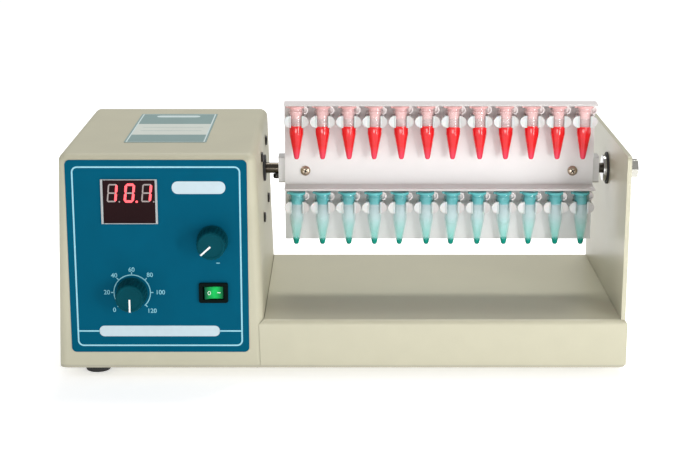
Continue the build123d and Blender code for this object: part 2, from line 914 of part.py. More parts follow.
def rack_screw_hole(x, grip):
    """The cut for a rack screw, rearwards from the channel's front."""
    radius = rack_screw / 2 + screw_clear
    hole = faceted([(0, over), (radius, over), (radius, -grip), (0, -grip)], screw_sides)
    return against_y(x, rack_front_y, axis_z) * hole


def left_end_block():
    """The driven block: it slides over the shaft, and a notch takes the drive screw's head."""
    bar = end_block(left_block_x, left_block_x + block_length)
    bore_end = left_block_x + shaft_engagement + over
    bar -= rod_x(left_block_x - over, bore_end, axis_y, axis_z, shaft_radius + running_clear)
    notch_half = drive_screw * head_share + slip_clear
    notch_x = (left_block_x - over, drive_screw_x() + notch_half)
    notch_z = (axis_z - block_height / 2 - over, axis_z)
    bar -= block(notch_x, (axis_y - notch_half, axis_y + notch_half), notch_z)
    return bar - rack_screw_hole(rack_screw_points()[0], rack_screw_grip + screw_end_gap)


def right_end_block():
    """The free-end block: it carries the pivot's bearing."""
    bar = end_block(right_block_x - block_length, right_block_x)
    seat = [(0, -bearing_length), (bearing_radius, -bearing_length), (bearing_radius, over), (0, over)]
    bar -= along_x(right_block_x, axis_y, axis_z) * faceted(seat, foot_sides)
    return bar - rack_screw_hole(rack_screw_points()[1], rack_screw_grip + screw_end_gap)


def pivot_bearing():
    start = right_block_x - bearing_length
    outline = [(0, 0), (bearing_radius, 0), (bearing_radius, bearing_length), (0, bearing_length)]
    ring = along_x(start, axis_y, axis_z) * faceted(outline, foot_sides)
    bore = pivot_bolt_size / 2 + running_clear
    return ring - rod_x(start - over, right_block_x + over, axis_y, axis_z, bore)


def tube_places():
    first = rack_left + tube_end_margin
    return [first + index * tube_pitch for index in range(tube_count)]


def rack_channel():
    """The front channel: a web between two forward flanges, folded from one sheet."""
    front = rack_front_y - channel_depth + rack_sheet
    middle_z = (channel_bottom + rack_top) / 2
    outer = Pos((front + rack_front_y + rack_sheet) / 2, middle_z)
    outer = outer * Rectangle(channel_depth, rack_top - channel_bottom)
    outer = fillet(outer.vertices().sort_by(Axis.X)[-2:], rack_bend)
    inner = Pos((front + rack_front_y - over) / 2, middle_z)
    inner = inner * Rectangle(channel_depth - rack_sheet + over, rack_top - channel_bottom - 2 * rack_sheet)
    inner = fillet(inner.vertices().sort_by(Axis.X)[-2:], rack_bend - rack_sheet)
    channel = facing_side(outer - inner, rack_left, rack_right)
    for x in rack_screw_points():
        channel -= rack_screw_hole(x, 2 * rack_sheet)
    return channel


def rack_back_plate():
    y_span = (rack_front_y + rack_sheet, rack_back_y)
    plate = block((rack_left, rack_right), y_span, (rack_bottom, rack_top - rack_bend))
    for x in rack_screw_points():
        plate -= rack_screw_hole(x, rack_screw_grip)
    return plate


def rack_screws():
    screw = pan_screw(rack_screw, rack_screw_grip)
    return [against_y(x, rack_front_y, axis_z) * screw for x in rack_screw_points()]


# ---- Tubes and clips ----
def cavity_radius(height):
    """The inside radius of a tube at a height above its outer tip."""
    top = tube_radius - tube_wall
    tip = tube_tip_radius - tube_wall / 2
    share = min(1.0, (height - tube_wall) / (tube_cone - tube_wall))
    return tip + (top - tip) * share


def tube_body():
    """A hollow tube with a conical end, open at the top."""
    inner = tube_radius - tube_wall
    outline = [
        (0, 0),
        (tube_tip_radius, 0),
        (tube_radius, tube_cone),
        (tube_radius, tube_length),
        (inner, tube_length),
        (inner, tube_cone),
        (cavity_radius(tube_wall), tube_wall),
        (0, tube_wall),
    ]
    return faceted(outline, tube_sides)


def tube_cap():
    """A snap cap: a disc with a plug below it."""
    plug = tube_radius - tube_wall - cap_clear
    outline = [
        (0, tube_length - cap_plug),
        (plug, tube_length - cap_plug),
        (plug, tube_length),
        (cap_radius, tube_length),
        (cap_radius, tube_length + cap_thick),
        (0, tube_length + cap_thick),
    ]
    return faceted(outline, tube_sides)


def clip():
    """A sprung clip round a tube at the origin: foot behind, jaws round the sides, ears at the mouth."""
    flat = math.pi / tube_sides
    inner = tube_radius + clip_clear
    outer = inner + clip_wall

    def corner(radius, turn):
        return (radius * math.sin(turn), radius * math.cos(turn))

    foot_x, _ = corner(outer, flat)
    ear_back = -outer * math.cos(3 * flat)
    ear_front = ear_back - clip_ear_thick
    right = [
        (foot_x, tube_standoff),
        corner(outer, 3 * flat),
        corner(outer, 5 * flat),
        (clip_ear_span / 2, ear_back),
        (clip_ear_span / 2, ear_front),
        (clip_mouth / 2, ear_front),
        corner(inner, 5 * flat),
        corner(inner, 3 * flat),
        corner(inner, flat),
    ]
    left = [(-x, y) for x, y in reversed(right)]
    return extrude(make_face(Polyline(*right, *left, close=True)), clip_height / 2, both=True)


def row_of(shape, y, z):
    return [Pos(x, y, z) * shape for x in tube_places()]


# ---- Free-end pivot ----
def pivot_bush():
    """A flanged bush through the upright that the pivot bolt screws through."""
    flange_x = upright_inner_x - gasket_thick
    length = upright_outer_x + pivot_body_proud - flange_x
    body = corner_radius(pivot_body_radius, foot_sides)
    outline = [(0, -pivot_flange_thick), (pivot_flange_radius, -pivot_flange_thick), (pivot_flange_radius, 0)]
    outline += [(body, 0), (body, length), (0, length)]
    bush = along_x(flange_x, axis_y, axis_z) * faceted(outline, foot_sides)
    bore = pivot_bolt_size / 2 + running_clear
    return bush - rod_x(flange_x - pivot_flange_thick - over, flange_x + length + over, axis_y, axis_z, bore)


def pivot_gasket():
    inner = corner_radius(pivot_body_radius, foot_sides)
    ring = [(inner, 0), (gasket_radius, 0), (gasket_radius, gasket_thick), (inner, gasket_thick)]
    return along_x(upright_inner_x - gasket_thick, axis_y, axis_z) * faceted(ring, foot_sides)


def pivot_bolt():
    head_x = right_x + pivot_reach - pivot_head_height
    shank = rod_x(right_block_x - pivot_engagement, head_x, axis_y, axis_z, pivot_bolt_size / 2)
    hexagon = RegularPolygon(pivot_head_across_flats / 2, 6, major_radius=False)
    return shank + along_x(head_x, axis_y, axis_z) * extrude(hexagon, pivot_head_height)


# ---- Mains parts, transformer and control board ----
def power_inlet():
    """A three-pin appliance inlet: a flange with two screw ears, and a recessed body behind it."""
    flange = chamfer(Rectangle(*inlet_flange).vertices(), inlet_flange_corner)
    body = Rectangle(*inlet_body)
    recess = Rectangle(*inlet_recess)
    recess = chamfer(recess.vertices().sort_by(Axis.Y)[-2:], inlet_key)
    place = Pos(inlet_x, inlet_z)
    mouth_y = back_y + inlet_flange_thick
    part = facing_front(place * flange, back_y, mouth_y)
    part += facing_front(place * body, back_y - inlet_body_depth, back_y)
    part -= facing_front(place * recess, mouth_y - inlet_recess_depth, mouth_y + over)
    for side in (-1, 1):
        ear_x = inlet_x + side * inlet_bolts / 2
        part -= along_y(ear_x, back_y, inlet_z) * screw_hole(inlet_screw, 2 * inlet_flange_thick)
    return part


def inlet_pins():
    floor_y = back_y + inlet_flange_thick - inlet_recess_depth
    half_z, half_x = inlet_pin[0] / 2, inlet_pin[1] / 2
    pins = []
    for dx, dz in inlet_pin_places:
        x, z = inlet_x + dx, inlet_z + dz
        pin_y = (floor_y, floor_y + inlet_pin_length)
        pins.append(block((x - half_x, x + half_x), pin_y, (z - half_z, z + half_z)))
    return pins


def inlet_screws():
    screw = pan_screw(inlet_screw, housing_wall + inlet_flange_thick + inlet_screw)
    seat_y = back_y + inlet_flange_thick
    return [along_y(inlet_x + side * inlet_bolts / 2, seat_y, inlet_z) * screw for side in (-1, 1)]


def fuse_holder():
    outline = [
        (0, fuse_flange_thick),
        (fuse_flange_radius, fuse_flange_thick),
        (fuse_flange_radius, 0),
        (fuse_body_radius, 0),
        (fuse_body_radius, -fuse_body_depth),
        (0, -fuse_body_depth),
    ]
    return along_y(fuse_x, back_y, fuse_z) * faceted(outline, hole_sides)


def fuse_cap():
    outline = [(0, fuse_flange_thick), (fuse_cap_radius, fuse_flange_thick)]
    outline += [(fuse_cap_radius, fuse_reach), (0, fuse_reach)]
    cap = along_y(fuse_x, back_y, fuse_z) * faceted(outline, foot_sides)
    half_x, half_z = fuse_slot[0] / 2, fuse_slot[1] / 2
    slot_y = (back_y + fuse_reach - fuse_slot[2], back_y + fuse_reach + over)
    return cap - block((fuse_x - half_x, fuse_x + half_x), slot_y, (fuse_z - half_z, fuse_z + half_z))


def transformer_core():
    """The laminated core, standing on two feet."""
    width, depth, height = core_size
    x_span = (transformer_x - width / 2, transformer_x + width / 2)
    y_span = (transformer_y - depth / 2, transformer_y + depth / 2)
    core = block(x_span, y_span, (base_top, base_top + height))
    foot_x = (x_span[0] - core_foot, x_span[1] + core_foot)
    core += block(foot_x, y_span, (base_top, base_top + core_foot_thick))
    coil_x, _, coil_z = coil_size
    window_x = (transformer_x - coil_x / 2 - slip_clear, transformer_x + coil_x / 2 + slip_clear)
    middle = base_top + height / 2
    window_z = (middle - coil_z / 2, middle + coil_z / 2 + slip_clear)
    return core - block(window_x, (y_span[0] - over, y_span[1] + over), window_z)


def transformer_coil():
    width, depth, height = coil_size
    middle = base_top + core_size[2] / 2
    outline = chamfer(Rectangle(width, depth).vertices(), coil_corner)
    return Pos(transformer_x, transformer_y, middle - height / 2) * extrude(outline, height)


def board_corner_points():
    reach_x = board_size[0] / 2 - board_hole_inset
    reach_y = board_size[1] / 2 - board_hole_inset
    return [(board_x + sx * reach_x, board_y + sy * reach_y) for sx in (-1, 1) for sy in (-1, 1)]


def control_board():
    return Pos(board_x, board_y, board_z) * extrude(Rectangle(*board_size), board_thick)


def board_spacers():
    outline = [(0, board_z), (spacer_radius, board_z), (spacer_radius, base_top), (0, base_top)]
    return [Pos(x, y, 0) * faceted(outline, screw_sides) for x, y in board_corner_points()]


def board_parts():
    """The large parts on the control board: two capacitors, a terminal block and a heat sink."""
    top = board_z + board_thick
    parts = []
    for dx, dy, radius, height in board_cans:
        can = faceted([(0, height), (radius, height), (radius, 0), (0, 0)], foot_sides)
        parts.append(Pos(board_x + dx, board_y + dy, top) * can)
    for dx, dy, width, depth, height in board_blocks:
        x_span = (board_x + dx - width / 2, board_x + dx + width / 2)
        y_span = (board_y + dy - depth / 2, board_y + dy + depth / 2)
        parts.append(block(x_span, y_span, (top, top + height)))
    return parts


def top_label():
    centre_y = front_y + label_front_inset + label_depth / 2
    outline = RectangleRounded(label_width, label_depth, label_corner)
    return Pos(housing_x + label_shift, centre_y, housing_top) * extrude(outline, label_thick)


# ---- Write every node ----
def all_nodes():
    tube, cap, tube_clip = tube_body(), tube_cap(), clip()
    upper_z = upper_cap_top - cap_thick - tube_length
    lower_z = lower_cap_top - cap_thick - tube_length
    nodes = {
        "base_plate": base_plate(),
        "housing_shell": housing_shell(),
        "tray": tray(),
        "upright": upright(),
        "control_panel": control_panel(),
        "display_bezel": display_bezel(),
        "display_module": display_module(),
        "display_blank": display_blank(),
        "display_board": display_board(),
        "switch_body": switch_body(),
        "switch_terminals": switch_terminals(),
        "power_rocker": power_rocker(),
        "speed_knob": knob(speed_x, speed_z, speed_rest_angle),
        "speed_pointer": pointer(speed_x, speed_z, speed_rest_angle),
        "speed_spindle": spindle(speed_x, speed_z, pot_spindle_reach),
        "speed_potentiometer": speed_potentiometer(),
        "speed_nut": panel_nut(speed_x, speed_z, nut_across_flats, bush_radius + running_clear),
        "timer_knob": knob(timer_x, timer_z, timer_rest_angle),
        "timer_pointer": pointer(timer_x, timer_z, timer_rest_angle),
        "timer_spindle": spindle(timer_x, timer_z, timer_spindle_reach),
        "timer_mechanism": timer_mechanism(),
        "timer_nut": panel_nut(timer_x, timer_z, timer_nut_across_flats, timer_bush_radius + running_clear),
        "gearbox": gearbox(),
        "motor": motor(),
        "motor_screws": motor_screws(),
        "shaft_seal": shaft_seal(),
        "rotor_shaft": rotor_shaft(),
        "drive_screw": drive_screw_body(),
        "left_end_block": left_end_block(),
        "right_end_block": right_end_block(),
        "pivot_bearing": pivot_bearing(),
        "rack_channel": rack_channel(),
        "rack_back_plate": rack_back_plate(),
        "rack_screws": rack_screws(),
        "upper_clips": row_of(tube_clip, upper_tube_y, upper_cap_top - clip_drop),
        "lower_clips": row_of(tube_clip, lower_tube_y, lower_cap_top - clip_drop),
        "upper_tubes": row_of(tube, upper_tube_y, upper_z),
        "lower_tubes": row_of(tube, lower_tube_y, lower_z),
        "upper_caps": row_of(cap, upper_tube_y, upper_z),
        "lower_caps": row_of(cap, lower_tube_y, lower_z),
        "pivot_bush": pivot_bush(),
        "pivot_gasket": pivot_gasket(),
        "pivot_bolt": pivot_bolt(),
        "power_inlet": power_inlet(),
        "inlet_pins": inlet_pins(),
        "inlet_screws": inlet_screws(),
        "fuse_holder": fuse_holder(),
        "fuse_cap": fuse_cap(),
        "transformer_core": transformer_core(),
        "transformer_coil": transformer_coil(),
        "control_board": control_board(),
        "board_parts": board_parts(),
        "board_spacers": board_spacers(),
        "top_label": top_label(),
        "base_screws": base_screws(),
        "upright_screws": upright_screws(),
    }
    nodes["feet"] = [foot(x, y) for x, y in foot_centres().values()]
    return nodes


def base_screws():
    """The screws seen from below: into the housing's bosses and into the tray's lips."""
    housing_grip = plate_thick + corner_boss_height - housing_wall - screw_end_gap
    screws = []
    for x, y in housing_screw_points():
        screws.append(screw_from_below(x, y, foot_height, base_screw, housing_grip))
    for x, y in tray_screw_points():
        screws.append(screw_from_below(x, y, foot_height, base_screw, plate_thick + tray_sheet))
    return screws


os.makedirs("parts", exist_ok=True)
for node_name, node_shape in all_nodes().items():
    save(node_name, node_shape)
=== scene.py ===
import json
import math
import random

import bmesh
import bpy
from mathutils import Matrix, Vector


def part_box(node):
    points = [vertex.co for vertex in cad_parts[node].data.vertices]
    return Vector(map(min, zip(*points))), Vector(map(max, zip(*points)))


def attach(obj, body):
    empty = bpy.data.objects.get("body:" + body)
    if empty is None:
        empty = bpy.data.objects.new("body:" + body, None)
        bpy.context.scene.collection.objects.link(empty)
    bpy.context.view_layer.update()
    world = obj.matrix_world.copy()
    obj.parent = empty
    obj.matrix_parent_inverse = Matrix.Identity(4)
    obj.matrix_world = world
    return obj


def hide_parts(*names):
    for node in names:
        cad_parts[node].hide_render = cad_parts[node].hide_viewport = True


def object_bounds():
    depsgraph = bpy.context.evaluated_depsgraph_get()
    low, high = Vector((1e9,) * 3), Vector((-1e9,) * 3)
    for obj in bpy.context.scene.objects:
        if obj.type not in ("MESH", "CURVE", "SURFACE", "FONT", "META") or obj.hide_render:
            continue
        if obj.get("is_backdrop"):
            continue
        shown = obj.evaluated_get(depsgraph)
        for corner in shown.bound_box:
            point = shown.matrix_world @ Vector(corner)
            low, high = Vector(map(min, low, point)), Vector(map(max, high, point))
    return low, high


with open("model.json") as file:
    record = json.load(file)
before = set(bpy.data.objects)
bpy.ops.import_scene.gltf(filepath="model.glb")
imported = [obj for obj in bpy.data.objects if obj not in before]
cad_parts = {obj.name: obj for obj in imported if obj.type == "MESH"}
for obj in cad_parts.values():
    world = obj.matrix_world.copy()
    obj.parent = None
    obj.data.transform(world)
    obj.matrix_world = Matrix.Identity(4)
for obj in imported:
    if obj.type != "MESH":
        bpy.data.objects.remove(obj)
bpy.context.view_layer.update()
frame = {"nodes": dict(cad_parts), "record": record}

# Lengths are in millimetres until a piece is made; the floor and the lights are in metres.
MM = 0.001
# The photograph's camera: its place, how far it looks down in degrees, and its focal length, the
# picture's width and the middle of its view in pixels.
CAMERA_PLACE = (-7.5, -1228.4, 401.0)
CAMERA_PITCH = 14.4
CAMERA_FOCAL = 1650.0
IMAGE_WIDTH = 680.0
PRINCIPAL_X = 345.0
SENSOR_WIDTH = 36.0
link = bpy.context.scene.collection.objects.link


def box_mm(node):
    """A CAD node's lowest and highest corners."""
    low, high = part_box(node)
    return low / MM, high / MM


def centre_mm(node):
    """The middle of a CAD node's box."""
    low, high = box_mm(node)
    return (low + high) / 2


def islands(node):
    """The lowest and highest corners of each separate solid of a CAD node.

    Corners of its mesh that agree to a hundredth of a millimetre are taken as one.
    """
    cad_mesh = frame["nodes"][node]
    keys, parents, key_of_vertex = {}, [], []
    for vertex in cad_mesh.data.vertices:
        place = cad_mesh.matrix_world @ vertex.co / MM
        key = tuple(round(value * 100) for value in place)
        if key not in keys:
            keys[key] = len(parents)
            parents.append(len(parents))
        key_of_vertex.append(keys[key])

    def root(index):
        while parents[index] != index:
            index = parents[index]
        return index

    for edge in cad_mesh.data.edges:
        first, second = (root(key_of_vertex[vertex]) for vertex in edge.vertices)
        parents[first] = second
    groups = {}
    for key, index in keys.items():
        groups.setdefault(root(index), []).append([value / 100 for value in key])
    boxes = []
    for points in groups.values():
        columns = list(zip(*points))
        boxes.append((Vector([min(c) for c in columns]), Vector([max(c) for c in columns])))
    return sorted(boxes, key=lambda corners: tuple(corners[0]))


# ---- Materials ----
ROUGH_SPREAD, GRAIN_DEPTH, SCATTER_DEPTH = 0.06, 0.2, 2.0
# A Mix node's sockets for colours: its share, its two colours and its result.
MIX_SHARE, MIX_FROM, MIX_TO, MIX_RESULT = 0, 6, 7, 2


def material(name, colour, rough=0.5, metal=0.0, alpha=1.0, mottle=0.03, mottle_size=18.0, grain=0.0,
             grain_size=0.6, stretch=(1, 1, 1), specular=0.5, coat=0.0, subsurface=0.0,
             glow=None, glow_strength=0.0, fades=()):
    """A procedural surface: mottled colour, uneven roughness and a fine grain in the bump.

    Each fade of (axis, start, end, colour) blends to another colour along an axis.
    """
    made = bpy.data.materials.new(name)
    made.use_nodes = True
    nodes, links = made.node_tree.nodes, made.node_tree.links
    shader = nodes["Principled BSDF"]
    coords = nodes.new("ShaderNodeTexCoord")
    mapping = nodes.new("ShaderNodeMapping")
    mapping.inputs["Scale"].default_value = stretch
    links.new(coords.outputs["Object"], mapping.inputs["Vector"])

    def noise(size, detail):
        texture = nodes.new("ShaderNodeTexNoise")
        texture.inputs["Scale"].default_value = 1 / MM / size
        texture.inputs["Detail"].default_value = detail
        links.new(mapping.outputs["Vector"], texture.inputs["Vector"])
        return texture.outputs["Fac"]

    broad = noise(mottle_size, 5.0)
    tint = nodes.new("ShaderNodeValToRGB")
    for stop, position, shade in zip(tint.color_ramp.elements, (0.3, 0.7), (1 - mottle, 1 + mottle)):
        stop.position = position
        stop.color = (*[min(1.0, c * shade) for c in colour], 1)
    links.new(broad, tint.inputs["Fac"])
    colour_out = tint.outputs["Color"]
    for axis, start, end, end_colour in fades:
        split = nodes.new("ShaderNodeSeparateXYZ")
        links.new(coords.outputs["Object"], split.inputs["Vector"])
        share = nodes.new("ShaderNodeMapRange")
        share.inputs["From Min"].default_value = start * MM
        share.inputs["From Max"].default_value = end * MM
        links.new(split.outputs[axis], share.inputs["Value"])
        blend = nodes.new("ShaderNodeMix")
        blend.data_type = "RGBA"
        links.new(share.outputs["Result"], blend.inputs[MIX_SHARE])
        links.new(colour_out, blend.inputs[MIX_FROM])
        blend.inputs[MIX_TO].default_value = (*end_colour, 1)
        colour_out = blend.outputs[MIX_RESULT]
    links.new(colour_out, shader.inputs["Base Color"])

    spread = nodes.new("ShaderNodeMapRange")
    spread.inputs["To Min"].default_value = max(0.02, rough - ROUGH_SPREAD)
    spread.inputs["To Max"].default_value = min(1.0, rough + ROUGH_SPREAD)
    links.new(broad, spread.inputs["Value"])
    links.new(spread.outputs["Result"], shader.inputs["Roughness"])

    if grain:
        bump = nodes.new("ShaderNodeBump")
        bump.inputs["Strength"].default_value = grain
        bump.inputs["Distance"].default_value = GRAIN_DEPTH * MM
        links.new(noise(grain_size, 3.0), bump.inputs["Height"])
        links.new(bump.outputs["Normal"], shader.inputs["Normal"])

    settings = {
        "Metallic": metal, "Alpha": alpha, "Specular IOR Level": specular, "Coat Weight": coat,
        "Subsurface Weight": subsurface, "Subsurface Scale": SCATTER_DEPTH * MM,
    }
    for socket, value in settings.items():
        shader.inputs[socket].default_value = value
    if glow:
        shader.inputs["Emission Color"].default_value = (*glow, 1)
        shader.inputs["Emission Strength"].default_value = glow_strength
    return made


BEIGE = (0.475, 0.455, 0.338)
RACK_PALE = (0.72, 0.712, 0.706)
rack_low, rack_high = box_mm("rack_channel")
upper_tip = box_mm("upper_tubes")[0].z
lower_tip, lower_rim = (corner.z for corner in box_mm("lower_tubes"))
rocker_left, rocker_right = (corner.x for corner in box_mm("power_rocker"))
surfaces = {}


def surface(name, *looks, **more_looks):
    """The look of one of the CAD's material slots, kept under the slot's name."""
    surfaces[name] = material(name, *looks, **more_looks)


surface("housing_beige", BEIGE, 0.55, mottle=0.02, grain=0.5, grain_size=0.9)
surface("tray_beige", BEIGE, 0.34, mottle=0.02, grain=0.35, grain_size=1.3)
surface("base_grey", (0.40, 0.38, 0.29), 0.5, grain=0.35, grain_size=1.3)
surface("panel_blue", (0.0005, 0.085, 0.150), 0.5, mottle=0.04, grain=0.15, grain_size=0.5, specular=0.02)
surface("bezel_pale", (0.35, 0.37, 0.37), 0.4, grain=0.15)
surface("display_dark", (0.014, 0.003, 0.004), 0.3, mottle=0.1, specular=0.05)
surface("board_green", (0.01, 0.16, 0.06), 0.35, mottle=0.25, mottle_size=6)
surface("switch_black", (0.002, 0.006, 0.005), 0.4, mottle=0.1, grain=0.2, specular=0.03)
# The rocker is brightest in its middle and dark at both ends: painted shade, where its lamp lights the ends
# less.
surface("rocker_green", (0.006, 0.42, 0.08), 0.25, mottle=0.2, mottle_size=5, specular=0.1,
        glow=(0.01, 0.60, 0.12), glow_strength=0.03,
        fades=(("X", rocker_left + 7.0, rocker_left + 1.5, (0.001, 0.07, 0.035)),
               ("X", rocker_right - 4.5, rocker_right - 0.8, (0.001, 0.10, 0.035))))
surface("terminal_brass", (0.72, 0.52, 0.22), 0.3, 1.0, mottle=0.08, mottle_size=4)
surface("knob_teal", (0.001, 0.052, 0.070), 0.46, mottle=0.1, grain=0.3, grain_size=0.7, specular=0.03)
surface("pointer_white", (0.86, 0.87, 0.85), 0.5, mottle=0.03, mottle_size=3)
surface("steel_bright", (0.09, 0.076, 0.06), 0.2, 1.0, mottle=0.12, mottle_size=3, stretch=(0.1, 1, 1),
        grain=0.2)
surface("nut_nickel", (0.66, 0.64, 0.58), 0.2, 1.0, mottle=0.06, mottle_size=3)
surface("movement_case", (0.06, 0.06, 0.07), 0.55, mottle=0.1, grain=0.4)
surface("gearbox_aluminium", (0.5, 0.5, 0.5), 0.55, 0.9, mottle=0.1, grain=0.8)
surface("motor_steel", (0.03, 0.03, 0.035), 0.4, 0.2, mottle=0.1, grain=0.3)
surface("screw_dark", (0.045, 0.042, 0.04), 0.34, 0.85, mottle=0.2, mottle_size=2)
surface("screw_zinc", (0.6, 0.6, 0.57), 0.32, 1.0, mottle=0.12, mottle_size=2)
surface("screw_brass", (0.52, 0.43, 0.33), 0.3, 1.0, mottle=0.15, mottle_size=2)
surface("rubber_black", (0.015, 0.015, 0.015), 0.72, mottle=0.15, grain=0.5)
surface("block_aluminium", (0.50, 0.49, 0.48), 0.4, 0.5, mottle=0.06, mottle_size=5, stretch=(1, 0.1, 1),
        grain=0.3)
surface("bearing_bronze", (0.45, 0.28, 0.12), 0.42, 1.0, mottle=0.12, grain=0.4)
# The rack is pinkish near its top, a painted reflection of the red liquid's light, but not behind its web;
# painted shade darkens its front edges.
surface("rack_aluminium", RACK_PALE, 0.46, 0.05, mottle=0.025, mottle_size=25, stretch=(0.15, 1, 1),
        grain=0.15, grain_size=0.8,
        fades=(("Z", rack_high.z - 30.0, rack_high.z - 10.0, (0.72, 0.665, 0.656)),
               ("Y", rack_high.y - 1.2, rack_high.y - 0.9, RACK_PALE),
               ("Y", rack_low.y + 0.5, rack_low.y + 0.1, (0.54, 0.51, 0.50))))
surface("clip_white", (0.66, 0.67, 0.665), 0.36, mottle=0.02, grain=0.15, subsurface=0.15)
surface("tube_clear", (1.0, 0.74, 0.73), 0.1, alpha=0.3, mottle=0.03, mottle_size=6, specular=1.0, coat=1.0)
# The lower tubes are greener in their cones and a deeper teal under their caps.
surface("tube_teal", (0.66, 0.84, 0.87), 0.1, alpha=0.3, mottle=0.03, mottle_size=6, specular=1.0,
        fades=(("Z", lower_tip + 24.0, lower_tip + 5.0, (0.22, 0.86, 0.78)),
               ("Z", lower_rim - 8.0, lower_rim - 6.5, (0.16, 0.57, 0.60))))
surface("cap_pink", (1.0, 0.54, 0.53), 0.22, alpha=0.68, mottle=0.03, mottle_size=6)
surface("cap_teal", (0.13, 0.55, 0.57), 0.22, alpha=0.82, mottle=0.12, mottle_size=5)
surface("bush_chrome", (0.50, 0.50, 0.49), 0.2, 1.0, mottle=0.04, mottle_size=4)
surface("bolt_steel", (0.62, 0.61, 0.56), 0.28, 1.0, mottle=0.08, mottle_size=3, grain=0.2)
surface("inlet_black", (0.014, 0.014, 0.014), 0.48, mottle=0.12, grain=0.3)
surface("core_steel", (0.16, 0.15, 0.14), 0.45, 0.7, mottle=0.2, stretch=(1, 6, 1), grain=0.4)
surface("coil_tape", (0.6, 0.42, 0.1), 0.4, mottle=0.08, grain=0.2)
surface("parts_black", (0.03, 0.03, 0.045), 0.35, mottle=0.15)
surface("label_pale", (0.62, 0.66, 0.60), 0.42, mottle=0.02, grain=0.1)

slots = {subpart["node"]: subpart["material_slot"] for subpart in frame["record"]["subparts"]}
for cad_object in frame["nodes"].values():
    for place in cad_object.material_slots:
        place.material = surfaces[slots[cad_object.name]]

print_pale = material("print_pale", (0.29, 0.59, 0.69), 0.5, mottle=0.03, mottle_size=4, specular=0.2)
print_white = material("print_white", (0.50, 0.61, 0.66), 0.5, mottle=0.02, mottle_size=4, specular=0.2)
print_cyan = material("print_cyan", (0.22, 0.53, 0.62), 0.5, mottle=0.04, mottle_size=4, specular=0.2)
label_band = material("label_band", (0.20, 0.31, 0.30), 0.42, mottle=0.03)
label_line = material("label_line", (0.60, 0.71, 0.70), 0.42, mottle=0.03)
segment_lit = material("segment_lit", (0.85, 0.09, 0.10), 0.4, mottle=0.05, mottle_size=3,
                       glow=(1.0, 0.05, 0.07), glow_strength=1.3)
segment_dim = material("segment_dim", (0.34, 0.29, 0.28), 0.5, mottle=0.05, mottle_size=3, specular=0.2)
# The red liquid has a faint painted glow and is pinker towards the tips of its tubes, painted light that
# passes through the thin liquid there.
liquid_red = material("liquid_red", (0.68, 0.006, 0.009), 0.1, mottle=0.1, mottle_size=7, specular=0.3,
                      coat=0.5, glow=(0.9, 0.01, 0.03), glow_strength=0.08,
                      fades=(("Z", upper_tip + 10.4, upper_tip - 2.6, (0.76, 0.045, 0.12)),))
liquid_teal = material("liquid_teal", (0.002, 0.28, 0.21), 0.1, mottle=0.1, mottle_size=5, specular=0.2,
                       coat=0.3)


# ---- Mesh building ----
class Piece:
    """Collects surfaces, each with a material number, and makes one object of them."""

    def __init__(self):
        self.points = []
        self.faces = []
        self.numbers = []

    def add(self, shape, place=Matrix.Identity(4), number=0):
        points, faces = shape
        start = len(self.points)
        self.points += [place @ Vector(point) for point in points]
        self.faces += [[start + index for index in face] for face in faces]
        self.numbers += [number] * len(faces)
        return self

    def make(self, name, body, slot, materials=None, sharp=32.0, bevel=0.0, replaces=()):
        """The object, which takes its slot's own look unless it is given materials by number."""
        mesh = bpy.data.meshes.new(name)
        mesh.from_pydata([point * MM for point in self.points], [], self.faces)
        for index, face in enumerate(mesh.polygons):
            face.material_index = self.numbers[index]
        for made in materials or [surfaces[slot]]:
            mesh.materials.append(made)
        shaping = bmesh.new()
        shaping.from_mesh(mesh)
        bmesh.ops.recalc_face_normals(shaping, faces=shaping.faces)
        shaping.to_mesh(mesh)
        shaping.free()
        mesh.shade_smooth()
        mesh.set_sharp_from_angle(angle=math.radians(sharp))
        piece = bpy.data.objects.new(name, mesh)
        link(piece)
        if bevel:
            rounding = piece.modifiers.new("edges", "BEVEL")
            rounding.width = bevel * MM
            rounding.segments = 2
            rounding.limit_method = "ANGLE"
            rounding.angle_limit = math.radians(40)
            rounding.harden_normals = True
        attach(piece, body)
        if replaces:
            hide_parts(*replaces)
        return piece


# A rounded corner takes at most this share of the sides that meet there.
CORNER_SHARE = 0.49


def rounded_path(points, radii, steps=4):
    """A path with each inner corner rounded over the distance given for it."""
    path = [points[0]]
    for before, corner, after, radius in zip(points, points[1:], points[2:], radii):
        if radius == 0:
            path.append(corner)
            continue
        a, b, c = Vector(before), Vector(corner), Vector(after)
        to_a, to_c = a - b, c - b
        reach = min(radius, to_a.length * CORNER_SHARE, to_c.length * CORNER_SHARE)
        start, end = b + to_a.normalized() * reach, b + to_c.normalized() * reach
        for step in range(steps + 1):
            share = step / steps
            point = start * (1 - share) ** 2 + b * (2 * share * (1 - share)) + end * share ** 2
            path.append(tuple(point))
    path.append(points[-1])
    return path


def lathe(outline, sides=48, ripple=None):
    """An outline of radius and height turned about local Z; ripple can change a radius by angle."""
    points, faces, rings = [], [], []
    for radius, height in outline:
        if radius < 1e-6:
            rings.append([len(points)])
            points.append((0, 0, height))
            continue
        ring = []
        for side in range(sides):
            angle = 2 * math.pi * side / sides
            reach = ripple(radius, height, angle) if ripple else radius
            ring.append(len(points))
            points.append((reach * math.cos(angle), reach * math.sin(angle), height))
        rings.append(ring)
    for low, high in zip(rings, rings[1:]):
        for side in range(sides):
            after = (side + 1) % sides
            if len(low) == 1 and len(high) == 1:
                continue
            if len(low) == 1:
                faces.append([low[0], high[after], high[side]])
            elif len(high) == 1:
                faces.append([low[side], low[after], high[0]])
            else:
                faces.append([low[side], low[after], high[after], high[side]])
    return points, faces


def prism(outline, low, high):
    """A closed outline in local X and Y, made solid between two heights."""
    count = len(outline)
    points = [(x, y, low) for x, y in outline] + [(x, y, high) for x, y in outline]
    faces = [list(range(count))[::-1], list(range(count, 2 * count))]
    faces += [[i, (i + 1) % count, count + (i + 1) % count, count + i] for i in range(count)]
    return points, faces


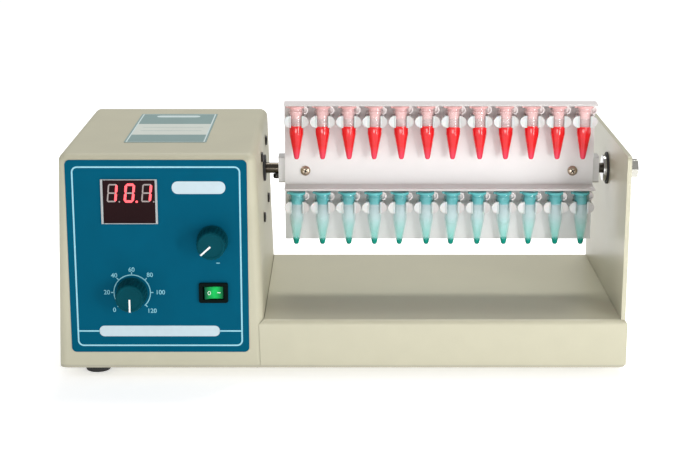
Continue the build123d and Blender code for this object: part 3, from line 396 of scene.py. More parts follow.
def ring_prism(outer, inner, low, high):
    """A frame between two outlines with the same number of points, made solid between two heights."""
    count = len(outer)
    points = [(x, y, z) for z in (low, high) for x, y in outer]
    points += [(x, y, z) for z in (low, high) for x, y in inner]
    faces = []
    for i in range(count):
        j = (i + 1) % count
        faces.append([i, j, count + j, count + i])
        faces.append([2 * count + j, 2 * count + i, 3 * count + i, 3 * count + j])
        faces.append([count + i, count + j, 3 * count + j, 3 * count + i])
        faces.append([j, i, 2 * count + i, 2 * count + j])
    return points, faces


def joined(shapes):
    """Several shapes as one."""
    points, faces = [], []
    for more, shape in shapes:
        faces += [[index + len(points) for index in face] for face in shape]
        points += [Vector(point) for point in more]
    return points, faces


def arc_points(reach_x, reach_y, degrees, centre=(0, 0)):
    """Points of an ellipse at angles that run anticlockwise from local X."""
    turns = [math.radians(angle) for angle in degrees]
    return [(centre[0] + reach_x * math.cos(turn), centre[1] + reach_y * math.sin(turn)) for turn in turns]


def rounded_rect(width, height, radius, steps=6, centre=(0, 0)):
    """A rectangle with round corners, anticlockwise from the right end of its upper right corner."""
    outline = []
    for corner, (side, end) in enumerate(((1, 1), (-1, 1), (-1, -1), (1, -1))):
        middle = (centre[0] + side * (width / 2 - radius), centre[1] + end * (height / 2 - radius))
        turns = [90 * (corner + step / steps) for step in range(steps + 1)]
        outline += arc_points(radius, radius, turns, middle)
    return outline


def arc_band(radius, width, start, end, steps):
    """A flat band along an arc; angles run clockwise from the top, in degrees."""
    turns = [90 - start - (end - start) * step / steps for step in range(steps + 1)]
    outer, inner = radius + width / 2, radius - width / 2
    return arc_points(outer, outer, turns) + arc_points(inner, inner, reversed(turns))


def bar(width, length, turn, offset):
    """A small bar whose middle is offset from the centre along a direction clockwise from the top."""
    angle = math.radians(turn)
    along = Vector((math.sin(angle), math.cos(angle)))
    across = Vector((math.cos(angle), -math.sin(angle)))
    middle = along * offset
    corners = [(-1, -1), (1, -1), (1, 1), (-1, 1)]
    return [tuple(middle + across * (a * width / 2) + along * (b * length / 2)) for a, b in corners]


def front_place(x, y, z, turn=0.0):
    """Local X to +X, local Y to +Z and local Z to the front, turned clockwise as the viewer sees it."""
    axes = Matrix(((1, 0, 0, x), (0, 0, -1, y), (0, 1, 0, z), (0, 0, 0, 1)))
    return axes @ Matrix.Rotation(math.radians(-turn), 4, "Z")


def back_place(x, y, z, turn=0.0):
    """Local X to -X, local Y to +Z and local Z to the back."""
    axes = Matrix(((-1, 0, 0, x), (0, 0, 1, y), (0, 1, 0, z), (0, 0, 0, 1)))
    return axes @ Matrix.Rotation(math.radians(-turn), 4, "Z")


def right_place(x, y, z, turn=0.0):
    """Local Z to +X."""
    axes = Matrix(((0, 0, 1, x), (1, 0, 0, y), (0, 1, 0, z), (0, 0, 0, 1)))
    return axes @ Matrix.Rotation(math.radians(-turn), 4, "Z")


def top_place(x, y, z):
    """Local axes along the part's own."""
    return Matrix.Translation((x, y, z))


def below_place(x, y, z, turn=0.0):
    """Local Z downwards."""
    turned = Matrix.Rotation(math.pi, 4, "X") @ Matrix.Rotation(math.radians(turn), 4, "Z")
    return Matrix.Translation((x, y, z)) @ turned


FIGURE_THICKNESS, FIGURE_SWELL = 0.03, 0.04


def numeral(text, height):
    """Plain figures as a shape in local X and Y, centred, with a little thickness."""
    curve = bpy.data.curves.new("figures", "FONT")
    curve.body = text
    curve.size = height
    curve.align_x = "CENTER"
    curve.align_y = "CENTER"
    curve.extrude = FIGURE_THICKNESS
    curve.offset = FIGURE_SWELL
    holder = bpy.data.objects.new("figures", curve)
    link(holder)
    bpy.context.view_layer.update()
    mesh = bpy.data.meshes.new_from_object(holder.evaluated_get(bpy.context.evaluated_depsgraph_get()))
    points = [tuple(v.co) for v in mesh.vertices]
    faces = [list(p.vertices) for p in mesh.polygons]
    bpy.data.objects.remove(holder)
    bpy.data.curves.remove(curve)
    bpy.data.meshes.remove(mesh)
    return points, faces


# ---- Control panel ----
PRINT_SUNK, PRINT_HEIGHT = 0.1, 0.06
FRAME_MARGIN, FRAME_LINE, FRAME_CORNER = 4.5, 1.1, 4.2
PILL_HEIGHT, RULE_WIDTH = 8.0, 1.0
# How far a rule starts inside the frame's edge and how far it reaches into the pill.
FRAME_LAP, PILL_LAP = 1.0, 0.5
# The colours of the print, by material number.
PALE, WHITE, CYAN = 0, 1, 2


def printed(outline):
    """An outline as a thin print that starts just under the surface it lies on."""
    return prism(outline, -PRINT_SUNK, PRINT_HEIGHT)


panel_low, panel_high = box_mm("control_panel")
panel_face = panel_low.y
panel_centre = centre_mm("control_panel")
timer_centre, speed_centre = centre_mm("timer_spindle"), centre_mm("speed_spindle")
graphics = Piece()

frame_width = panel_high.x - panel_low.x - 2 * FRAME_MARGIN
frame_height = panel_high.z - panel_low.z - 2 * FRAME_MARGIN
frame_outer = rounded_rect(frame_width, frame_height, FRAME_CORNER)
frame_inner = rounded_rect(frame_width - 2 * FRAME_LINE, frame_height - 2 * FRAME_LINE,
                           FRAME_CORNER - FRAME_LINE)
graphics.add(ring_prism(frame_outer, frame_inner, -PRINT_SUNK, PRINT_HEIGHT),
             front_place(panel_centre.x, panel_face, panel_centre.z), PALE)

# A pill between two rules near the panel's foot, and another pill near its upper right corner.
pill_left, pill_right, pill_z = panel_low.x + 20.5, panel_high.x - 21.1, panel_low.z + 15.9
rule_left = panel_low.x + FRAME_MARGIN + FRAME_LAP
rule_right = panel_high.x - FRAME_MARGIN - FRAME_LAP
for low_x, high_x in ((rule_left, pill_left + PILL_LAP), (pill_right - PILL_LAP, rule_right)):
    rule = rounded_rect(high_x - low_x, RULE_WIDTH, 0.2, 1)
    graphics.add(printed(rule), front_place((low_x + high_x) / 2, panel_face, pill_z), PALE)
graphics.add(printed(rounded_rect(pill_right - pill_left, PILL_HEIGHT, 3.6)),
             front_place((pill_left + pill_right) / 2, panel_face, pill_z), WHITE)
graphics.add(printed(rounded_rect(37.9, 9.1, 4.2)),
             front_place(panel_high.x - 34.2, panel_face, panel_high.z - 19.9), WHITE)

# The timer's scale: an arc, its ticks and a figure for each tick, clockwise from the lower left.
SCALE_START, SCALE_STEP, SCALE_MINUTES = -135, 45, 20
ARC_REACH, ARC_OVERRUN, LINE_WIDTH = 13.1, 3, 0.7
TICK_REACH, TICK_LENGTH = 14.2, 2.0
FIGURE_HEIGHT = 4.6
FIGURE_REACH = (18.6, 18.2, 17.8, 16.9, 18.4, 20.2, 19.6)
at_timer = front_place(timer_centre.x, panel_face, timer_centre.z)
scale_arc = arc_band(ARC_REACH, LINE_WIDTH, SCALE_START - ARC_OVERRUN, ARC_OVERRUN - SCALE_START, 64)
graphics.add(printed(scale_arc), at_timer, CYAN)
for step in range(len(FIGURE_REACH)):
    tick = bar(LINE_WIDTH, TICK_LENGTH, SCALE_START + SCALE_STEP * step, TICK_REACH)
    graphics.add(printed(tick), at_timer, CYAN)
for step, reach in enumerate(FIGURE_REACH):
    turn = math.radians(SCALE_START + SCALE_STEP * step)
    place = front_place(timer_centre.x + reach * math.sin(turn), panel_face,
                        timer_centre.z + reach * math.cos(turn))
    graphics.add(numeral(str(SCALE_MINUTES * step), FIGURE_HEIGHT), place, CYAN)

# One short tick below the speed knob.
speed_tick = rounded_rect(2.6, 0.6, 0.2, 1, (3.6, -16.6))
graphics.add(printed(speed_tick), front_place(speed_centre.x, panel_face, speed_centre.z), CYAN)
graphics.make("panel_graphics", "base", "pointer_white", [print_pale, print_white, print_cyan])

# ---- Display ----
WINDOW_DEPTH, DIGITS_RISE = 8.0, 0.5
module_low, module_high = box_mm("display_module")
blank_bottom = box_mm("display_blank")[0].z
window_x = (module_low.x + module_high.x) / 2
window_y = module_low.y
window_z = (blank_bottom + module_high.z) / 2
digits_z = (module_low.z + module_high.z) / 2 + DIGITS_RISE

display = Piece()
window = rounded_rect(module_high.x - module_low.x, module_high.z - blank_bottom, 1.6)
display.add(prism(window, -WINDOW_DEPTH, 0.0), front_place(window_x, window_y, window_z))
display.make("display_window", "base", "display_dark", bevel=0.15,
             replaces=("display_module", "display_blank"))

# Each bar of a seven-bar figure: its column and row from the middle, and whether it lies flat.
SEGMENTS = {
    "a": (0, 1, True), "g": (0, 0, True), "d": (0, -1, True),
    "f": (-1, 0.5, False), "b": (1, 0.5, False), "e": (-1, -0.5, False), "c": (1, -0.5, False),
}
DIGIT_WIDTH, DIGIT_HEIGHT, SLANT = 7.4, 13.9, math.tan(math.radians(6))
STROKE, UNLIT_STROKE = 1.75, 1.0
# The share of a stroke by which a bar is shorter than its side of the figure.
FLAT_GAP, UPRIGHT_GAP = 0.9, 0.55
POINT_PLACE, POINT_RADIUS, UNLIT_RADIUS = (5.0, -6.3), 0.85, 0.55
BAR_SUNK, BAR_HEIGHT = 0.2, 0.08
# Each figure's place across the display, its lit bars and whether its point is lit.
FIGURES = ((-11.9, "bc", False), (0.4, "abcdef", True), (12.5, "bc", False))


def segment_outline(column, row, flat, stroke):
    """One bar of a figure with pointed ends, slanted with the figure."""
    length = DIGIT_WIDTH - STROKE * FLAT_GAP if flat else DIGIT_HEIGHT / 2 - STROKE * UPRIGHT_GAP
    half, tip = length / 2, stroke / 2
    upper = [(-half, 0), (-half + tip, tip), (half - tip, tip)]
    shape = upper + [(-x, -y) for x, y in upper]
    if not flat:
        shape = [(-y, x) for x, y in shape]
    middle_x, middle_y = column * (DIGIT_WIDTH - STROKE) / 2, row * (DIGIT_HEIGHT - STROKE) / 2
    return [(x + middle_x + (y + middle_y) * SLANT, y + middle_y) for x, y in shape]


lit, dim = Piece(), Piece()
for offset, shown, point_lit in FIGURES:
    place = front_place(window_x + offset, window_y, digits_z)
    for key, (column, row, flat) in SEGMENTS.items():
        target, stroke = (lit, STROKE) if key in shown else (dim, UNLIT_STROKE)
        target.add(prism(segment_outline(column, row, flat, stroke), -BAR_SUNK, BAR_HEIGHT), place)
    target, size = (lit, POINT_RADIUS) if point_lit else (dim, UNLIT_RADIUS)
    point = arc_points(size, size, [22.5 * step for step in range(16)], POINT_PLACE)
    target.add(prism(point, -BAR_SUNK, BAR_HEIGHT), place)
lit.make("display_segments_lit", "base", "display_dark", [segment_lit])
dim.make("display_segments_unlit", "base", "display_dark", [segment_dim])

# ---- Knobs ----
KNOB_RADIUS, KNOB_TOP_RADIUS, KNOB_RIM_DROP = 11.2, 10.2, 0.12
KNOB_FLUTES, FLUTE_DEPTH = 22, 0.42
LINE_HALF, LINE_START = 0.6, 0.6
SPEED_TURN, TIMER_TURN = 228.0, 180.0


def knob_shape(radius, top_radius, height):
    """A knob with a smooth skirt, a fluted flank and a slightly dished top."""
    rim = height - KNOB_RIM_DROP
    outline = [
        (radius - 2.2, 0), (radius, 0), (radius, 1.6), (radius - 0.5, 2.2), (top_radius + 0.1, rim - 1.3),
        (top_radius - 0.9, rim), (top_radius - 1.9, rim), (top_radius - 2.4, rim - 0.4), (0, rim - 0.4),
    ]
    path = rounded_path(outline, [0.25, 0.4, 0.2, 0.2, 0.5, 0.6, 0.2, 0.2], 3)

    def flutes(reach, level, angle):
        if 2.1 < level < height - 1.2 and reach > top_radius - 0.7:
            return reach - FLUTE_DEPTH * (0.5 + 0.5 * math.cos(angle * KNOB_FLUTES)) ** 2
        return reach

    return lathe(path, 8 * KNOB_FLUTES, flutes)


def knob_line(radius, top_radius, height):
    """A line laid over a knob, from near its centre over the rim and down the flank."""
    rim = height - KNOB_RIM_DROP
    outer = [
        (LINE_START, rim - 0.3), (top_radius - 2.4, rim - 0.3), (top_radius - 1.85, rim + 0.1),
        (top_radius - 0.85, rim + 0.1), (top_radius + 0.15, rim - 1.2), (radius - 0.42, 3.4),
    ]
    inner = [(reach - 0.7, level - 0.4) for reach, level in reversed(outer[1:])]
    inner.append((LINE_START, rim - 0.8))
    points, faces = prism(rounded_path(outer, [0.2, 0.2, 0.5, 0.6], 3) + inner, -LINE_HALF, LINE_HALF)
    return [(-across, reach, level) for reach, level, across in points], faces


for label, centre, turn in (("speed", speed_centre, SPEED_TURN), ("timer", timer_centre, TIMER_TURN)):
    low, high = box_mm(label + "_knob")
    sizes = (KNOB_RADIUS, KNOB_TOP_RADIUS, high.y - low.y)
    place = front_place(centre.x, high.y, centre.z, turn)
    knob = Piece().add(knob_shape(*sizes), place)
    knob.make(label + "_knob_fluted", label + "_control", "knob_teal", sharp=40, replaces=(label + "_knob",))
    line = Piece().add(knob_line(*sizes), place)
    line.make(label + "_knob_line", label + "_control", "pointer_white", replaces=(label + "_pointer",))

# ---- Rocker switch ----
# How far one shape of a piece reaches into the next.
OVERLAP = 0.1
BEZEL_LIP, WELL_DEPTH, SWITCH_DEPTH = 2.0, 10.5, 19.0
ROCKER_PIVOT_DEPTH, ROCKER_LEAN = 3.4, 8.0
ROCKER_REACH, ROCKER_HALF_HEIGHT, ROCKER_EDGE, ROCKER_DISH = 6.6, 4.55, 3.35, 1.25
ROCKER_STEPS = 14
MARK_SUNK, MARK_HEIGHT = 0.15, 0.06
body_front = box_mm("switch_body")[0].y
switch_centre = centre_mm("switch_body")
at_switch = front_place(switch_centre.x, body_front, switch_centre.z)
well = rounded_rect(15.2, 9.7, 0.5, 3)
switch_sides = rounded_rect(18.9, 12.9, 0.6, 3)
bezel = Piece()
bezel.add(ring_prism(rounded_rect(20.9, 14.9, 1.4, 3), well, -BEZEL_LIP, 0.0), at_switch)
bezel.add(ring_prism(switch_sides, well, -WELL_DEPTH, OVERLAP - BEZEL_LIP), at_switch)
bezel.add(prism(switch_sides, -SWITCH_DEPTH, OVERLAP - WELL_DEPTH), at_switch)
bezel.make("switch_bezel", "base", "switch_black", bevel=0.35, replaces=("switch_body",))


def rocker_front(x):
    """The rocker's dished front at a distance from its middle, measured from its pivot."""
    return ROCKER_DISH * (1 - (x / ROCKER_REACH) ** 2) - ROCKER_EDGE


# The rocker's pivot lies behind its front; it leans with its left side pressed in.
pivot = Vector((switch_centre.x, body_front + ROCKER_PIVOT_DEPTH, switch_centre.z))
rocker_place = Matrix.Translation(pivot) @ Matrix.Rotation(math.radians(ROCKER_LEAN), 4, "Z")
front_steps = [ROCKER_REACH * (2 * step / ROCKER_STEPS - 1) for step in range(ROCKER_STEPS + 1)]
section = [(x, rocker_front(x)) for x in front_steps] + [(7.0, 0.5), (4.2, 4.4), (-4.2, 4.4), (-7.0, 0.5)]
rocker = Piece()
rocker.add(prism(section, -ROCKER_HALF_HEIGHT, ROCKER_HALF_HEIGHT), rocker_place)
rocker.make("rocker_lens", "power_rocker", "rocker_green", sharp=30, bevel=0.3, replaces=("power_rocker",))


def rocker_mark_place(x):
    """On the dished front at a distance from the rocker's middle, square to the surface there."""
    slope = Matrix.Rotation(math.atan(-2 * ROCKER_DISH * x / ROCKER_REACH ** 2), 4, "Z")
    return rocker_place @ Matrix.Translation((x, rocker_front(x), 0)) @ slope @ front_place(0, 0, 0)


marks = Piece()
circle_outer = arc_points(1.15, 1.5, range(0, 360, 15))
circle_inner = arc_points(0.8, 1.15, range(0, 360, 15))
marks.add(ring_prism(circle_outer, circle_inner, -MARK_SUNK, MARK_HEIGHT), rocker_mark_place(-3.4))
marks.add(prism(rounded_rect(2.4, 0.5, 0.15, 2), -MARK_SUNK, MARK_HEIGHT), rocker_mark_place(3.6))
marks.make("rocker_marks", "power_rocker", "pointer_white")

# ---- Screws ----
# A head's radius and height as drawn, and its height in the CAD, which gives its seat.
LARGE_HEAD, LARGE_CAD_HEIGHT = (3.75, 2.35), 2.4
SMALL_HEAD, SMALL_CAD_HEIGHT = (2.8, 1.75), 1.8
FIRST_TURN, NEXT_TURN = 20, 37
RACK_SHEET = 1.5


def pan_head(radius, height):
    """A round screw head with a domed top."""
    outline = [(radius, 0), (radius, height * 0.45), (radius * 0.62, height * 0.95), (0, height)]
    return lathe(rounded_path(outline, [height * 0.25, height * 0.5], 4), 40)


def cross_recess(size, height):
    """Two crossing bars that stand for the shadowed sides of a driver recess."""
    bars = (rounded_rect(size, size * 0.24, 0.05, 1), rounded_rect(size * 0.24, size, 0.05, 1))
    return joined([prism(outline, height - 0.05, height + 0.03) for outline in bars])


# A dark colour painted as shade in recesses: the screw heads' cross recesses and the fuse cap's slot.
recess_dark = material("recess_dark", (0.02, 0.018, 0.015), 0.7, 0.3, mottle=0.2)


def cross_heads(node, name, body, head, seat, slot="screw_zinc"):
    """Pan heads with a cross recess in place of a node's screws, each turned differently.

    seat gives a head's place from its screw's lowest and highest corners, their middle and its turn.
    """
    radius, height = head
    heads = Piece()
    for number, (low, high) in enumerate(islands(node)):
        place = seat(low, high, (low + high) / 2, FIRST_TURN + NEXT_TURN * number)
        heads.add(pan_head(radius, height), place)
        heads.add(cross_recess(radius * 0.95, height), place, 1)
    heads.make(name, body, slot, [surfaces[slot], recess_dark], replaces=(node,))


# The seats of heads on the rack's web, the inlet's flange, the apron and the base plate.
def rack_seat(low, high, middle, turn):
    return front_place(middle.x, rack_high.y - RACK_SHEET, middle.z, turn)


def inlet_seat(low, high, middle, turn):
    return back_place(middle.x, high.y - SMALL_CAD_HEIGHT, middle.z, turn)


def apron_seat(low, high, middle, turn):
    return right_place(high.x - LARGE_CAD_HEIGHT, middle.y, middle.z, turn)


def base_seat(low, high, middle, turn):
    return below_place(middle.x, middle.y, low.z + SMALL_CAD_HEIGHT, turn)


cross_heads("rack_screws", "rack_screw_heads", "rotor", LARGE_HEAD, rack_seat, "screw_brass")
cross_heads("inlet_screws", "inlet_screw_heads", "base", SMALL_HEAD, inlet_seat)
cross_heads("upright_screws", "upright_screw_heads", "base", LARGE_HEAD, apron_seat)
cross_heads("base_screws", "base_screw_heads", "base", SMALL_HEAD, base_seat)

motor_heads = Piece()
outline = [(3.75, 0), (3.75, 1.9), (3.4, 2.35), (2.0, 2.35), (1.9, 1.2), (0, 1.0)]
socket_head = lathe(rounded_path(outline, [0, 0.3, 0.15, 0.1], 3), 40)
for low, high in islands("motor_screws"):
    motor_heads.add(socket_head, apron_seat(low, high, (low + high) / 2, 0))
motor_heads.make("gearbox_screw_heads", "base", "screw_dark", replaces=("motor_screws",))

drive_low, drive_high = box_mm("drive_screw")
drive_centre = centre_mm("drive_screw")
drive_length = drive_high.z - drive_low.z
drive = Piece()
outline = [(1.35, 0), (1.35, 4.6), (2.8, 4.6), (2.8, 7.3), (2.3, 7.9), (1.3, 7.9), (1.2, 6.6), (0, 6.5)]
outline = [(0, 0)] + rounded_path(outline, [0, 0.3, 0.6, 0.3, 0.1, 0.2], 3)
drive.add(lathe([(radius, min(level, drive_length)) for radius, level in outline], 36),
          below_place(drive_centre.x, drive_centre.y, drive_high.z))
drive.make("drive_screw_turned", "rotor", "screw_dark", replaces=("drive_screw",))


# ---- Tubes, caps and clips ----
TUBES_IN_ROW = 12
# The heights above a tube's tip of the end of its round tip and of the top of its cone.
TIP_TOP, CONE_TOP = 1.3, 17.6
# The liquid's radii at those two heights and above, which just hide the tube's wall.
LIQUID_TIP, LIQUID_CONE, LIQUID_SHAFT = 1.94, 4.89, 5.25
# The middle of a hinge's fold, out from its tube's axis and up from its tip.
FOLD_MIDDLE = (5.7, 37.5)
FOLD_INNER, STRAP_HALF, CHEEK_HALF = 0.74, 2.3, 0.5
# How far tubes may tilt and turn, in degrees, and how far a liquid's level may differ.
TILT_SPREAD, SPIN_SPREAD, FILL_SPREAD = 1.3, 10, 0.5
JAW_OUTER, JAW_INNER, JAW_HALF_HEIGHT = 7.0, 5.6, 4.5
FOOT_START, FOOT_HALF_WIDTH, FOOT_HALF_HEIGHT = 6.4, 2.6, 4.4
EAR_OFFSET, EAR_REACH, EAR_HALF_HEIGHT, EAR_THICKNESS, EAR_START = 4.15, 5.2, 4.6, 2.0, 2.64


def tube_row(node):
    """The places along X of a row's tubes, their Y and the height of their tips."""
    low, high = box_mm(node)
    radius = (high.y - low.y) / 2
    first, last = low.x + radius, high.x - radius
    gaps = TUBES_IN_ROW - 1
    return [first + (last - first) * i / gaps for i in range(TUBES_IN_ROW)], (low.y + high.y) / 2, low.z


def tube_shape():
    """A conical microtube with a collar under its rim, hollow and open at the top."""
    outline = [
        (0, 0.0), (1.3, 0.15), (1.9, TIP_TOP), (4.85, CONE_TOP), (5.2, 19.2), (5.25, 34.2), (5.4, 35.0),
        (6.25, 35.4), (6.25, 37.0), (5.35, 37.4), (5.3, 39.0), (4.5, 39.0), (4.35, 19.4), (4.1, CONE_TOP),
        (1.05, 1.6), (0, 1.0),
    ]
    radii = [0.7, 0.7, 1.0, 1.5, 0.4, 0.3, 0.25, 0.25, 0.3, 0.2, 0.2, 1.5, 1, 0.6]
    return lathe(rounded_path(outline, radii, 3), 40)


def tube_marks(levels):
    """Raised graduation marks on a tube's front."""
    marks_made = []
    for level, width in levels:
        radius = 5.15 if level > CONE_TOP else 4.75
        place = front_place(0, -radius, level)
        points, faces = prism(rounded_rect(width, 0.35, 0.1, 1), -0.1, 0.1)
        marks_made.append(([place @ Vector(point) for point in points], faces))
    return joined(marks_made)


def cap_shape():
    """A snap cap: a rimmed disc with its plug and a thumb tab on one side."""
    outline = [(0, 35.2), (3.5, 35.2), (3.75, 31.2), (4.35, 31.4), (4.35, 39.1), (6.35, 39.1), (6.4, 40.6),
               (5.9, 41.0), (5.0, 41.0), (4.7, 40.5), (0, 40.4)]
    disc = lathe(rounded_path(outline, [0.2, 0.2, 0.3, 0.1, 0.2, 0.4, 0.3, 0.3, 0.3], 3), 40)
    tab = rounded_path([(-5.6, -2.1), (-7.7, -2.1), (-7.7, 2.1), (-5.6, 2.1)], [1.1, 1.1], 5)
    return joined([disc, prism(tab, 39.4, 40.5)])


def hinge_shape():
    """The folded strap that joins a cap to its tube's collar, with a thin cheek in the fold."""
    fold = [86 - 10.75 * step for step in range(17)]
    strap = arc_points(3.3, 3.1, fold, FOLD_MIDDLE)
    strap += arc_points(3.3 * FOLD_INNER, 3.1 * FOLD_INNER, reversed(fold), FOLD_MIDDLE)
    cheek = arc_points(2.9, 2.7, fold, FOLD_MIDDLE)
    shapes = []
    for outline, half in ((strap, STRAP_HALF), (cheek, CHEEK_HALF)):
        points, faces = prism(outline, -half, half)
        shapes.append(([(x, -depth, level) for x, level, depth in points], faces))
    return joined(shapes)


def liquid_shape(height):
    """The liquid up to a level, with a dished top; it wets its tube's wall and hides the wall there."""
    outer = [(1.3, 0.12), (LIQUID_TIP, TIP_TOP), (LIQUID_CONE, CONE_TOP), (5.24, 19.2)]
    outline = [(0, -0.03)] + [point for point in outer if point[1] < height - 0.4]
    brim = LIQUID_SHAFT
    if height < CONE_TOP:
        brim = LIQUID_TIP + (LIQUID_CONE - LIQUID_TIP) * (height - TIP_TOP) / (CONE_TOP - TIP_TOP)
    outline += [(brim, height), (brim - 1.0, height - 0.35), (0, height - 0.75)]
    return lathe(rounded_path(outline, [0.6] * (len(outline) - 2), 3), 40)


# A darker copy of the clips' white: painted shade for the ears on the right of each tube.
clip_shade = material("clip_shade", (0.54, 0.52, 0.51), 0.42, mottle=0.03, grain=0.15, subsurface=0.1)
hinge_pale = material("hinge_pale", (0.84, 0.77, 0.76), 0.3, alpha=0.8, mottle=0.05, mottle_size=4)
random.seed(11)
# Each row: its name, its liquid's level, its slots, its liquid, and its marks' levels and widths.
rack_rows = (
    ("upper", 25.8, "tube_clear", "cap_pink", liquid_red, ((28.5, 2.6), (32.0, 3.4))),
    ("lower", 4.6, "tube_teal", "cap_teal", liquid_teal,
     ((16.5, 2.6), (20.0, 3.4), (25.0, 2.6), (30.0, 3.4))),
)
for row, fill, tube_slot, cap_slot, liquid, levels in rack_rows:
    places, tube_y, tip_z = tube_row(row + "_tubes")
    clip_z = centre_mm(row + "_clips").z
    clip_back = box_mm(row + "_clips")[1].y
    tubes, caps, liquids, clips = Piece(), Piece(), Piece(), Piece()
    for x in places:
        grip = Vector((x, tube_y, clip_z))
        tilt = Matrix.Rotation(math.radians(random.uniform(-TILT_SPREAD, TILT_SPREAD)), 4, "Y")
        tilt = Matrix.Translation(grip) @ tilt @ Matrix.Translation(-grip)
        spin = Matrix.Rotation(math.radians(random.uniform(-SPIN_SPREAD, SPIN_SPREAD)), 4, "Z")
        place = tilt @ top_place(x, tube_y, tip_z) @ spin
        tubes.add(tube_shape(), place)
        tubes.add(tube_marks(levels), place)
        caps.add(cap_shape(), place)
        caps.add(hinge_shape(), place, 1)
        level = fill + random.uniform(-FILL_SPREAD, FILL_SPREAD)
        liquids.add(liquid_shape(level), place)
    tubes.make(row + "_microtubes", "rotor", tube_slot, sharp=38, replaces=(row + "_tubes",))
    caps.make(row + "_snap_caps", "rotor", cap_slot, [surfaces[cap_slot], hinge_pale], 38,
              replaces=(row + "_caps",))
    liquids.make(row + "_liquid", "rotor", tube_slot, [liquid], 50)

    jaw = arc_points(JAW_OUTER, JAW_OUTER, range(-48, 229, 12))
    jaw += arc_points(JAW_INNER, JAW_INNER, range(228, -49, -12))
    foot_back = clip_back - tube_y
    foot = [(-FOOT_HALF_WIDTH, FOOT_START), (FOOT_HALF_WIDTH, FOOT_START),
            (FOOT_HALF_WIDTH, foot_back), (-FOOT_HALF_WIDTH, foot_back)]
    ear = arc_points(EAR_REACH, EAR_HALF_HEIGHT, range(-90, 91, 10), (EAR_OFFSET, 0))
    for x in places:
        place = top_place(x, tube_y, clip_z)
        clips.add(prism(jaw, -JAW_HALF_HEIGHT, JAW_HALF_HEIGHT), place)
        clips.add(prism(foot, -FOOT_HALF_HEIGHT, FOOT_HALF_HEIGHT), place)
        at_ears = front_place(x, tube_y - EAR_START, clip_z)
        clips.add(prism([(-across, up) for across, up in ear], 0.0, EAR_THICKNESS), at_ears)
        # The right ears take the painted shade.
        clips.add(prism(ear, 0.0, EAR_THICKNESS), at_ears, 1)
    clips.make(row + "_spring_clips", "rotor", "clip_white", [surfaces["clip_white"], clip_shade], 40,
               bevel=0.3, replaces=(row + "_clips",))


# ---- Shaft seal, pivot and feet ----
BOLT_RADIUS, BOLT_THREAD_START, THREAD_PITCH, THREAD_DEPTH = 3.95, 9.0, 1.25, 0.35
BOLT_HEAD, HEXAGON_REACH = 5.8, 7.42
# The feet's distances from the base plate's ends and from its front and back.
LEFT_FOOT, RIGHT_FOOT = (25.3, 21.0), (26.0, 46.0)
axis = centre_mm("shaft_seal")


def axis_ring(node, name, slot, outline, radii, steps=3):
    """A ring turned about the rotor's axis in place of a CAD node, from its left end."""
    ring = Piece()
    ring.add(lathe(rounded_path(outline, radii, steps), 64), right_place(box_mm(node)[0].x, axis.y, axis.z))
    ring.make(name, "base", slot, replaces=(node,))


def length_mm(node):
    """A CAD node's length along X."""
    low, high = box_mm(node)
    return high.x - low.x


seal_length = length_mm("shaft_seal")
seal_step = seal_length - 0.7
seal_outline = [(4.35, 0), (9.95, 0), (9.95, seal_length), (7.2, seal_length), (6.6, seal_step),
                (4.35, seal_step), (4.35, 0)]
axis_ring("shaft_seal", "shaft_seal_ring", "rubber_black", seal_outline, [0.2, 0.7, 0.2, 0.2, 0.2])

gasket_outline = [(7.1, 0), (12.15, 0), (12.15, 1.2), (7.1, 1.2), (7.1, 0)]
axis_ring("pivot_gasket", "pivot_gasket_ring", "rubber_black", gasket_outline, [0.3, 0.3, 0.3])

bush_length = length_mm("pivot_bush")
bush_outline = [(4.15, 0), (9.9, 0), (9.9, 2.8), (6.95, 2.8), (6.95, bush_length), (4.15, bush_length),
                (4.15, 0)]
axis_ring("pivot_bush", "pivot_bush_turned", "bush_chrome", bush_outline, [0.6, 0.3, 0.05, 0.4, 0.3], 4)


def thread(radius, start, end, pitch, depth):
    """An outline of a threaded shank as a row of grooves."""
    outline = []
    level = start
    while level < end - pitch:
        outline += [(radius, level), (radius - depth, level + pitch * 0.5)]
        level += pitch
    return outline + [(radius, end)]


shank_dark = material("shank_dark", (0.07, 0.062, 0.05), 0.3, 0.9, mottle=0.15, mottle_size=2)
bolt_length = length_mm("pivot_bolt")
head_start = bolt_length - BOLT_HEAD
bolt_place = right_place(box_mm("pivot_bolt")[0].x, axis.y, axis.z)
shank = [(0, 0), (3.0, 0), (BOLT_RADIUS, 1.0)]
shank += thread(BOLT_RADIUS, BOLT_THREAD_START, head_start - 1.0, THREAD_PITCH, THREAD_DEPTH)
shank.append((BOLT_RADIUS, head_start + 0.2))
hexagon = arc_points(HEXAGON_REACH, HEXAGON_REACH, range(0, 360, 60))
face = [(0, bolt_length - 0.05), (5.2, bolt_length - 0.05), (6.1, bolt_length - 0.45)]
bolt = Piece()
bolt.add(lathe(shank, 40), bolt_place, 1)
bolt.add(prism(hexagon, head_start, bolt_length - 0.3), bolt_place)
bolt.add(lathe(face, 40), bolt_place)
bolt.make("pivot_bolt_threaded", "pivot_bolt", "bolt_steel", [surfaces["bolt_steel"], shank_dark], 30,
          bevel=0.35, replaces=("pivot_bolt",))

outline = [(0, 0.35), (4.4, 0.35), (4.7, 0), (8.4, 0), (8.9, 0.4), (10.0, 5.6), (10.0, 8.0), (0, 8.0)]
foot_shape = lathe(rounded_path(outline, [0.1, 0.2, 0.4, 0.3, 0.4, 0.2], 3), 56)
plate_low, plate_high = box_mm("base_plate")
feet = Piece()
for x, inset in ((plate_low.x + LEFT_FOOT[0], LEFT_FOOT[1]), (plate_high.x - RIGHT_FOOT[0], RIGHT_FOOT[1])):
    for y in (plate_low.y + inset, plate_high.y - inset):
        feet.add(foot_shape, top_place(x, y, 0))
feet.make("rubber_feet", "base", "rubber_black", replaces=("feet",))

